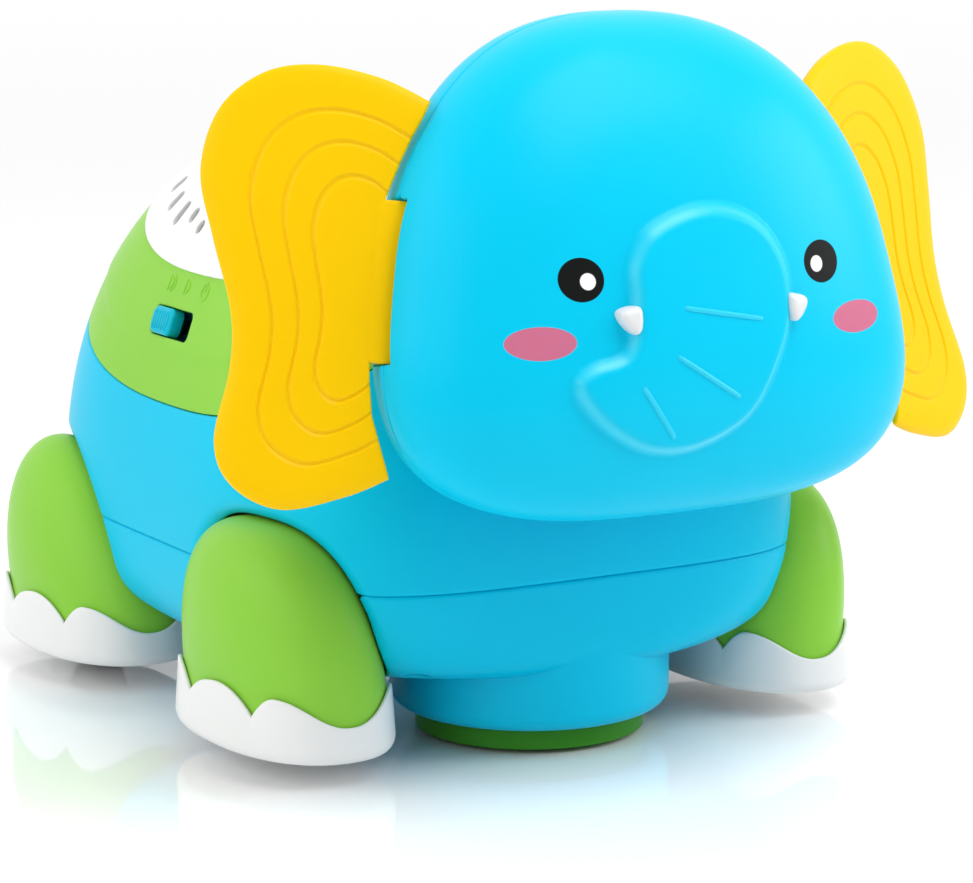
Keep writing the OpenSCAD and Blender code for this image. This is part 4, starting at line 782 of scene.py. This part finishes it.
points, quads = dome(cover_proud, 460, levels_up(0.55, 110))
inside = -off_smile(points, cover_reach - cover_gap, cover_drop - cover_gap)
near = inside > -cover_near
index = np.cumsum(near) - 1
quads = index[quads[near[quads].all(1)]]
points, inside = points[near], inside[near]
cover = moulding(points, quads, np.minimum(inside, clear_of_slits(points)), wall=1.3, edge=0.22)
piece("speaker_cover", *cover, white, "elephant", "white_plastic", "speaker_grille")

# Head, back half: a blue bowl with the neck tube, the ear bearings and four screw wells.
# A grey plate inside the body holds the neck, with three screws into its end.
head_w, head_up, head_down, face_depth, nape_depth = 123.0, 52.7, 54.3, 28.7, 24.2
head_lean, head_taper, crown_power, chin_power, face_power = 0.183, 0.00334, 2.475, 3.06, 2.415
half_gap, head_wells = 0.03, ((-36, 30), (36, 30), (-46, -30), (46, -30))
plate_y, plate_r = -32.0747, 15.4


def head_skin(way, depth, around, count):
    """Skin of half the head, from its parting line to the nape (way 1) or to the face (way -1)."""
    angle = circle(around)
    upper = np.sin(angle) >= 0
    c, s = squared(angle, np.where(upper, crown_power, chin_power))
    tall = np.where(upper, head_up, head_down)
    across, up = squared(np.linspace(0, np.pi / 2, count)[:-1], face_power)
    rows = []
    for k, d in [(1.0, -2 / depth)] + list(zip(across, up)):
        dz = tall * k * s
        wide = head_w / 2 * (1 - head_taper * dz)
        deep = head_y + head_lean * dz + way * (d * depth + half_gap)
        rows.append(np.stack([wide * k * c, deep, head_z + dz], 1))
    rows.append(np.array([[0, head_y + way * (depth + half_gap), head_z]]))
    return skin(rows, flip=way > 0)


hinge_at = np.array([-55.9416, -75.8182, 112.85])
hinge_axis = np.array([0.193033, 0.176625, 0.965164])
ear_turn = math.radians(24)
ear_lead = np.array([-math.cos(ear_turn), math.sin(ear_turn), 0])
ear_out = ear_lead - hinge_axis * (ear_lead @ hinge_axis)
ear_out /= np.linalg.norm(ear_out)
ear_normal = np.cross(hinge_axis, ear_out)
ear_slot_w, ear_slot_h, ear_slot_in = 9.2, 35.0, 2.7


def clear_of_ears(points):
    """Distance outside the slots that the ears' tabs swing in."""
    gap = on_right(points) - hinge_at
    slab = np.maximum(np.abs(gap @ ear_normal) - ear_slot_w / 2, np.abs(gap @ hinge_axis) - ear_slot_h / 2)
    return np.maximum(slab, -ear_slot_in - gap @ ear_out)


points, quads = head_skin(1, nape_depth, 300, 80)
keep = np.minimum(clear_of_ears(points), points[:, 1] - head_y - head_lean * (points[:, 2] - head_z))
neck_hole = np.hypot(points[:, 0], points[:, 2] - neck_z) - neck_r + 1
keep = np.minimum(keep, np.where(points[:, 1] > head_y + 8, neck_hole, uncut))
for qx, dz in head_wells:
    keep = np.minimum(keep, np.hypot(points[:, 0] - qx, points[:, 2] - head_z - dz) - well_r)
bowl = moulding(points, quads, keep)
turn = circle(120)
neck = skin([np.stack([neck_r * np.cos(turn), np.full(120, h), neck_z - neck_r * np.sin(turn)], 1)
             for h in np.linspace(head_y + 14, body_y - body_l / 2 + 29.5, 8)], flip=True)
piece("head_back_bowl", *joined(bowl, neck), sky_blue, "elephant", "blue_shell", "head_back")
dress(grey, "neck_plate")
thirds = np.radians([90, 210, 330])
at = [(plate_r * math.cos(a), plate_y, neck_z + plate_r * math.sin(a)) for a in thirds]
screwed("neck_screw_set", at, [(0, -1, 0)] * 3, "neck_screws", 9.0)

# Ears: flat yellow flaps with three fine grooves and a soft rim, each one moulding with the tab and
# barrel that turn in the head's slot. The back is thinner beside the slot, which leaves room for the
# swing. The head's two halves hold the barrel's pins between them.
ear_outer = np.array([(-1, 38.8), (10, 42.9), (23.4, 44.4), (34.5, 41.6), (43, 33.2), (45.8, 20), (42, 6),
                      (37.2, -8.5), (36.3, -20.5), (38.3, -36), (34, -45), (23.4, -49.2), (10, -45.4),
                      (1.4, -41)], float)
ear_inner = np.array([(1.4, -41), (3.4, -35.5), (6.0, -28.2), (7.5, -18.3), (7.8, -15), (7.8, 15),
                      (6.8, 17.5), (5.7, 21), (4.1, 26), (2.2, 31), (0.2, 35.5), (-1, 38.8)], float)
ear_core, ear_half, ear_size = np.array([7.8, -2.0]), 1.7, np.array([37, 45])
groove_scales, groove_w, groove_deep = ((0.72, 0.795), (0.53, 0.655), (0.36, 0.505)), 0.75, 0.42
rim_in = (0, 0.12, 0.35, 0.7, 1.2, 2, 3, 4.2, 5.4)
rim_front = (0.35, 0.62, 0.86, 1.07, 1.25, 1.42, 1.55, 1.65, 1.7)
rim_back = (0.35, 0.75, 1.1, 1.4, 1.6, 1.7, 1.7, 1.7, 1.7)
end_roll, room_deep, room_wide, end_share = 0.6, 1.6, 2.8, 0.25
barrel_r, pin_r, pin_round = 2.4, 1.5, 0.2
tab_taper = [(9.2, 1.62), (6, 1.86), (3, 2.12)]
tab_ends = [(17.2, 0.72, 0.6), (17.1, 0.87, 0.3), (16.8, 0.96, 0.1), (16.3, 1, 0)]


def between(a, b, c, d, t):
    """A smooth curve from b to c at t of 0 to 1, with a and d as their neighbours."""
    square, cube = 2 * a - 5 * b + 4 * c - d, 3 * b - a - 3 * c + d
    return 0.5 * (2 * b + (c - a) * t + square * t ** 2 + cube * t ** 3)


def walked(line):
    """Length along a line up to each of its points."""
    return np.concatenate([[0], np.cumsum(np.linalg.norm(np.diff(line, axis=0), axis=1))])


ends_twice = np.concatenate([ear_outer[:1], ear_outer, ear_outer[-1:]])
fine = []
for four in zip(ends_twice, ends_twice[1:], ends_twice[2:], ends_twice[3:]):
    fine += [between(*four, t) for t in np.arange(40) / 40]
fine = np.array(fine + [ear_outer[-1]])
gone = walked(fine)
tips = np.array([0, 0.1, 0.25, 0.45, 0.7, 1.0])
stops = np.concatenate([tips, np.linspace(1.4, gone[-1] - 1.4, 230), gone[-1] - tips[::-1]])
outline = np.stack([np.interp(stops, gone, fine[:, k]) for k in (0, 1)], 1)
flow = np.gradient(outline, axis=0)
outward = unit(np.stack([-flow[:, 1], flow[:, 0]], 1))
share = stops / gone[-1]
lines = [(outline - outward * d, front, -back) for d, front, back in zip(rim_in, rim_front, rim_back)]
for scale in groove_scales:
    for off in np.linspace(1.6, -1.6, 17) * groove_w:
        deep = groove_deep * (0.5 + 0.5 * math.cos(math.pi * min(1, abs(off) / groove_w)))
        line = ear_core + (outline - ear_core) * (np.array(scale) + off / ear_size)
        lines.append((line, ear_half - deep, -ear_half))
for scale in ((0.2, 0.3), (0.07, 0.1)):
    lines.append((ear_core + (outline - ear_core) * np.array(scale), ear_half, -ear_half))
front_rows, back_rows = [], []
for line, front, back in lines:
    for end, far in ((0, share), (-1, 1 - share)):
        shift = np.interp(line[end, 1], ear_inner[:, 1], ear_inner[:, 0]) - line[end, 0]
        line[:, 0] += shift * np.clip(1 - far / end_share, 0, 1) ** 2
    inmost = np.minimum(walked(line), walked(line)[-1] - walked(line))
    beside = step(np.abs(line[:, 1]) - 17.0, 1.5)
    near = np.clip(end_roll - inmost, 0, end_roll) * beside
    roll = end_roll - np.sqrt(end_roll ** 2 - near ** 2)
    room = room_deep * (np.clip(room_wide - inmost, 0, room_wide) / room_wide) ** 1.5
    room *= beside * np.minimum(1, -back / ear_half)
    front_rows.append(np.stack([line[:, 0], front - roll, line[:, 1]], 1))
    back_rows.append(np.stack([line[:, 0], back + np.maximum(roll, room), line[:, 1]], 1))
rows = back_rows[::-1] + front_rows
n, total = len(outline), len(rows)
cores = np.array([[ear_core[0], -ear_half, ear_core[1]], [ear_core[0], ear_half, ear_core[1]]])
i = np.arange(n - 1)
blade = [np.stack([i, i + 1, n + i + 1, n + i], 1) + r * n for r in range(total - 1)]
blade = np.concatenate(blade).tolist()
back_core, front_core, last = total * n, total * n + 1, (total - 1) * n
blade += [(back_core, k + 1, k) for k in range(n - 1)]
blade += [(front_core, last + k, last + k + 1) for k in range(n - 1)]
for r in range(total // 2 - 1):
    a, b = r * n, (total - 1 - r) * n
    blade.append((a, a + n, b - n, b))
    blade.append((a + n - 1, b + n - 1, b - 1, a + 2 * n - 1))
blade += [(back_core, 0, last, front_core), (back_core, front_core, last + n - 1, n - 1)]
round_end = [(barrel_r * math.cos(a), barrel_r * math.sin(a)) for a in np.radians(np.arange(90, 271, 15))]
section = np.array(tab_taper + round_end + [(u, -v) for u, v in tab_taper[::-1]])
tab_rows = []
for h, flat, shift in [(-h, flat, shift) for h, flat, shift in tab_ends] + tab_ends[::-1]:
    push = shift * np.clip(1 - section[:, 0] / 5, 0, 1)
    tab_rows.append(np.stack([section[:, 0] + push, section[:, 1] * flat, np.full(len(section), h)], 1))
pins = []
for low, high in ((-21.2, -16), (16, 21.2)):
    thin = pin_r - pin_round
    profile = ((thin, low), (pin_r, low + pin_round), (pin_r, high - pin_round), (thin, high))
    pins.append(capped(lathe(profile, 32)))
yellow = moulded("yellow_plastic", (0.88, 0.53, 0.0))
local, ear_faces = joined((np.concatenate(rows + [cores]), blade), capped(tab_rows), *pins)
placed = hinge_at + local @ np.stack([ear_out, ear_normal, hinge_axis])
piece("ear_right_flap", placed, ear_faces, yellow, "ear_right", "yellow_ear", "ear_right")
placed, ear_faces = placed * np.array([-1, 1, 1]), [ring[::-1] for ring in ear_faces]
piece("ear_left_flap", placed, ear_faces, yellow, "ear_left", "yellow_ear", "ear_left")

# Head, front half: the face in the same blue, screwed on from behind, with the trunk in low relief and
# three fine raised creases; a pale highlight is painted along the trunk's edge and on the creases, which
# also carry a clear coat. The eyes with their glints and the cheeks are pad-printed on it.
trunk_points = np.array([(0, 14.2), (12.5, 10.8), (19.2, 2), (20, -9), (16.8, -18.7), (9.2, -30.9),
                         (-3, -37), (-15, -37.2), (-25, -32.5), (-32.3, -25.5), (-33.6, -20.2),
                         (-29.5, -17.2), (-22, -14.6), (-19.9, -5), (-19.3, 3), (-13.6, 10.4)], float)
trunk_proud, trunk_foot, trunk_soft = 2.4, 0.5, 3.4
crease_lines = np.array([((-8.6, -6.5), (11.4, -10.2)), ((-10.9, -16.3), (5.2, -26.5)),
                         ((-19.2, -22.2), (-10.7, -34.1))])
crease_half, crease_proud, crease_sunk, crease_rows, crease_across = 0.62, 0.6, 0.2, 40, 9
# Painted highlight: how far inside the trunk's edge its pale band lies, its width, and its strength on the
# creases.
highlight_in, highlight_wide, crease_highlight = 1.0, 0.8, 0.55


def smooth_loop(p, steps):
    """A closed smooth curve through a few points."""
    t = (np.arange(steps) / steps)[None, :, None]
    return between(*(np.roll(p, k, 0)[:, None, :] for k in (1, 0, -1, -2)), t).reshape(-1, 2)


def inside_loop(q, loop):
    """Distance of flat points inside a closed loop, less than 0 outside it."""
    best, odd = np.full(len(q), 1e9), np.zeros(len(q), bool)
    for a, b in zip(loop, np.roll(loop, -1, 0)):
        run = b - a
        part = np.clip((q - a) @ run / (run @ run), 0, 1)
        best = np.minimum(best, np.linalg.norm(q - a - part[:, None] * run, axis=1))
        if a[1] != b[1]:
            over = (b[0] - a[0]) * (q[:, 1] - a[1]) / (b[1] - a[1]) + a[0]
            odd ^= ((a[1] > q[:, 1]) != (b[1] > q[:, 1])) & (q[:, 0] < over)
    return np.where(odd, best, -best)


def face_at(q, proud):
    """Points of the face over flat (x, height from the head's middle), standing proud along the depth."""
    u, dz = q[:, 0], q[:, 1]
    p = np.where(dz > 0, crown_power, chin_power)
    tall = np.where(dz > 0, head_up, head_down)
    wide = head_w / 2 * (1 - head_taper * dz)
    g = np.minimum(1, squared_size(u / wide, dz / tall, p))
    deep = head_y + head_lean * dz - half_gap - (face_depth + proud) * lift(g, face_power)
    return np.stack([u, deep, head_z + dz], 1)


def trunk_rise(d):
    """Height of the trunk over the face at a distance inside its edge."""
    t = np.clip((d + trunk_foot) / trunk_soft, 0, 1)
    return trunk_proud * (1 - (1 - t) ** 2.4 * (1 + 1.1 * t))


def face_print_and_highlight(place, tint, gloss):
    """Pad-printed black eyes with a white glint and pink cheeks, and a painted pale highlight with a clear
    coat on raised edges.
    """
    side, _, up = place.axes()
    x, z = side * (1 / mm), up * (1 / mm)

    def spot(cx, cz, rx, rz, crisp):
        u, v = (abs(x) - cx) / rx, (z - cz) / rz
        return ((1 - x.math("SQRT", u * u + v * v)) * crisp).clear()

    cheek = spot(39.9, 102.55, 7.6, 3.5, 30)
    eye = spot(30.25, 115.15, 5.1, 4.6, 40)
    glint = spot(28.85, 114.75, 1.8, 1.8, 14)
    tint = cheek.mix(tint, (0.56, 0.15, 0.25, 1))
    tint = eye.mix(tint, (0.006, 0.007, 0.007, 1))
    tint = glint.mix(tint, (0.85, 0.85, 0.85, 1))
    # Painted highlight: pale blue mixed into the colour where the attribute is high, standing in for light
    # caught by the trunk's edge and the creases; the same attribute lays a real clear coat.
    highlight_band = place.add("ShaderNodeAttribute", {"attribute_name": "painted_highlight"}, 2)
    return (highlight_band * 0.42).mix(tint, (0.06, 0.66, 0.82, 1)), gloss + 0.12 * eye, highlight_band * 0.6


trunk_loop = smooth_loop(trunk_points, 10)
points, quads = head_skin(-1, face_depth, 400, 170)
q = points[:, [0, 2]] - np.array([0, head_z])
about = (np.abs(q[:, 0]) < 40) & (q[:, 1] > -42) & (q[:, 1] < 20)
points[about] = face_at(q[about], trunk_rise(inside_loop(q[about], trunk_loop)))
keep = np.minimum(clear_of_ears(points), head_y + head_lean * (points[:, 2] - head_z) - points[:, 1])
face = moulding(points, quads, keep, inner=False)
turn = np.radians(np.linspace(0, 180, crease_across))
creases = []
for a, b in crease_lines:
    run = b - a
    across = np.array([-run[1], run[0]]) / np.linalg.norm(run)
    rows = []
    for k in np.linspace(0, 1, crease_rows):
        size = float(lift(abs(2 * k - 1), 6)) + 1e-3
        flat = a + run * k + across * (crease_half * size * np.cos(turn))[:, None]
        rows.append(face_at(flat, trunk_proud - crease_sunk + crease_proud * size * np.sin(turn)))
    i = np.arange(crease_across - 1)
    strip = np.stack([i, i + 1, i + 1 + crease_across, i + crease_across], 1)
    strips = [strip + r * crease_across for r in range(crease_rows - 1)]
    creases.append((np.concatenate(rows), np.concatenate(strips)))
printed_highlighted_blue = moulded("sky_blue_printed_highlighted", sky_colour, paint=face_print_and_highlight)
points, polygons = joined(face, *creases)
edge = inside_loop(points[:, [0, 2]] - np.array([0, head_z]), trunk_loop)
# The painted highlight: a pale band just inside the trunk's edge, and the creases all over.
painted_highlight = np.exp(-((edge - highlight_in) / highlight_wide) ** 2) * (points[:, 1] < head_y - 12)
painted_highlight[len(face[0]):] = crease_highlight
piece("face_shell", points, polygons, printed_highlighted_blue, "elephant", "blue_shell", "head_front", painted_highlight=painted_highlight)
at = [(qx, head_y + head_lean * dz + 5, head_z + dz) for qx, dz in head_wells]
screwed("head_screw_set", at, [(0, -1, 0)] * 4, "head_screws", 13.0)

# Tusks: two small teeth with a blunt point in glossy white plastic, set in the face beside the trunk and
# standing over its edge. Their rows follow the face and shrink from the outline to the point.
tusk_points = np.array([(18.7, -5.8), (20.4, -5.6), (22.8, -6.2), (23.6, -7.1), (23.1, -8.6), (21.8, -10.3),
                        (20.4, -11.4), (19.4, -11.2), (18.7, -10.0), (18.4, -7.8)], float)
tusk_middle, tusk_sunk, tusk_foot, tusk_proud, tusk_power = np.array([20.8, -8.2]), -0.8, 1.0, 2.4, 3.2
tusk_loop = smooth_loop(tusk_points, 8)
tusk_parts = []
for side in (1, -1):
    flip = np.array([side, 1])
    rows = [face_at(tusk_loop * flip, tusk_sunk)]
    for k in np.cos(np.linspace(0, np.pi / 2, 16)):
        smaller = tusk_middle + (tusk_loop - tusk_middle) * k
        rows.append(face_at(smaller * flip, tusk_foot + tusk_proud * float(lift(k, tusk_power))))
    rows[-1] = rows[-1][:1]
    tusk_parts.append(skin(rows, flip=side > 0))
tusk_white = moulded("tusk_plastic", (0.70, 0.71, 0.72), rough=0.3, drift=0.02, shine=0.3)
piece("tusk_pair", *joined(*tusk_parts), tusk_white, "elephant", "white_plastic", "tusks")

# Studio: a pale glossy floor, soft light from above and both sides, and a camera at the picture's angle.
# Each lamp has its name, its place, its width and its power.
lamps = (("over_front", (0.2, -0.5, 1.0), 0.7, 7.2), ("left", (-0.9, 0.1, 0.5), 0.7, 2.5),
         ("left_front", (-0.9, -0.5, 0.5), 0.6, 1.6), ("right", (0.85, -0.5, 0.45), 0.5, 3.8))
pale = moulded("pale_floor", (0.975, 0.975, 0.975), rough=0.05, drift=0.001, peel=0.0, shine=0.5)
floor = bpy.data.meshes.new("floor")
floor.from_pydata([(-9, -9, 0), (9, -9, 0), (9, 9, 0), (-9, 9, 0)], [], [(0, 1, 2, 3)])
floor.materials.append(pale)
floor = shown("floor", floor)
world = bpy.data.worlds.new("studio")
world.use_nodes = True
back = Wire(world.node_tree).add("ShaderNodeTexCoord").axes()[1]
glow = back.add("ShaderNodeMapRange", {"interpolation_type": "SMOOTHSTEP"}, Value=back,
                From_Min=-0.4, From_Max=0.4, To_Min=0.36, To_Max=1.1)
world.node_tree.nodes["Background"].inputs["Color"].default_value = (1, 1, 1, 1)
world.node_tree.links.new(glow.socket, world.node_tree.nodes["Background"].inputs["Strength"])
bpy.context.scene.world = world
middle = Vector((0, -0.011, 0.08))
for name, at, size, watts in lamps:
    lamp = bpy.data.lights.new(name, "AREA")
    lamp.energy, lamp.size = watts, size
    lamp = shown(name, lamp)
    lamp.location = at
    lamp.rotation_euler = (middle - Vector(at)).to_track_quat("-Z", "Y").to_euler()
camera = bpy.data.cameras.new("camera")
camera.sensor_width, camera.lens = 36, 129.1
camera = shown("camera", camera)
target = Vector((0, -0.0110, 0.0641))
camera.location = (-0.4063, -0.7091, 0.2123)
camera.rotation_euler = (target - camera.location).to_track_quat("-Z", "Y").to_euler()
bpy.context.scene.camera = camera
bpy.context.scene.view_settings.view_transform = "Standard"
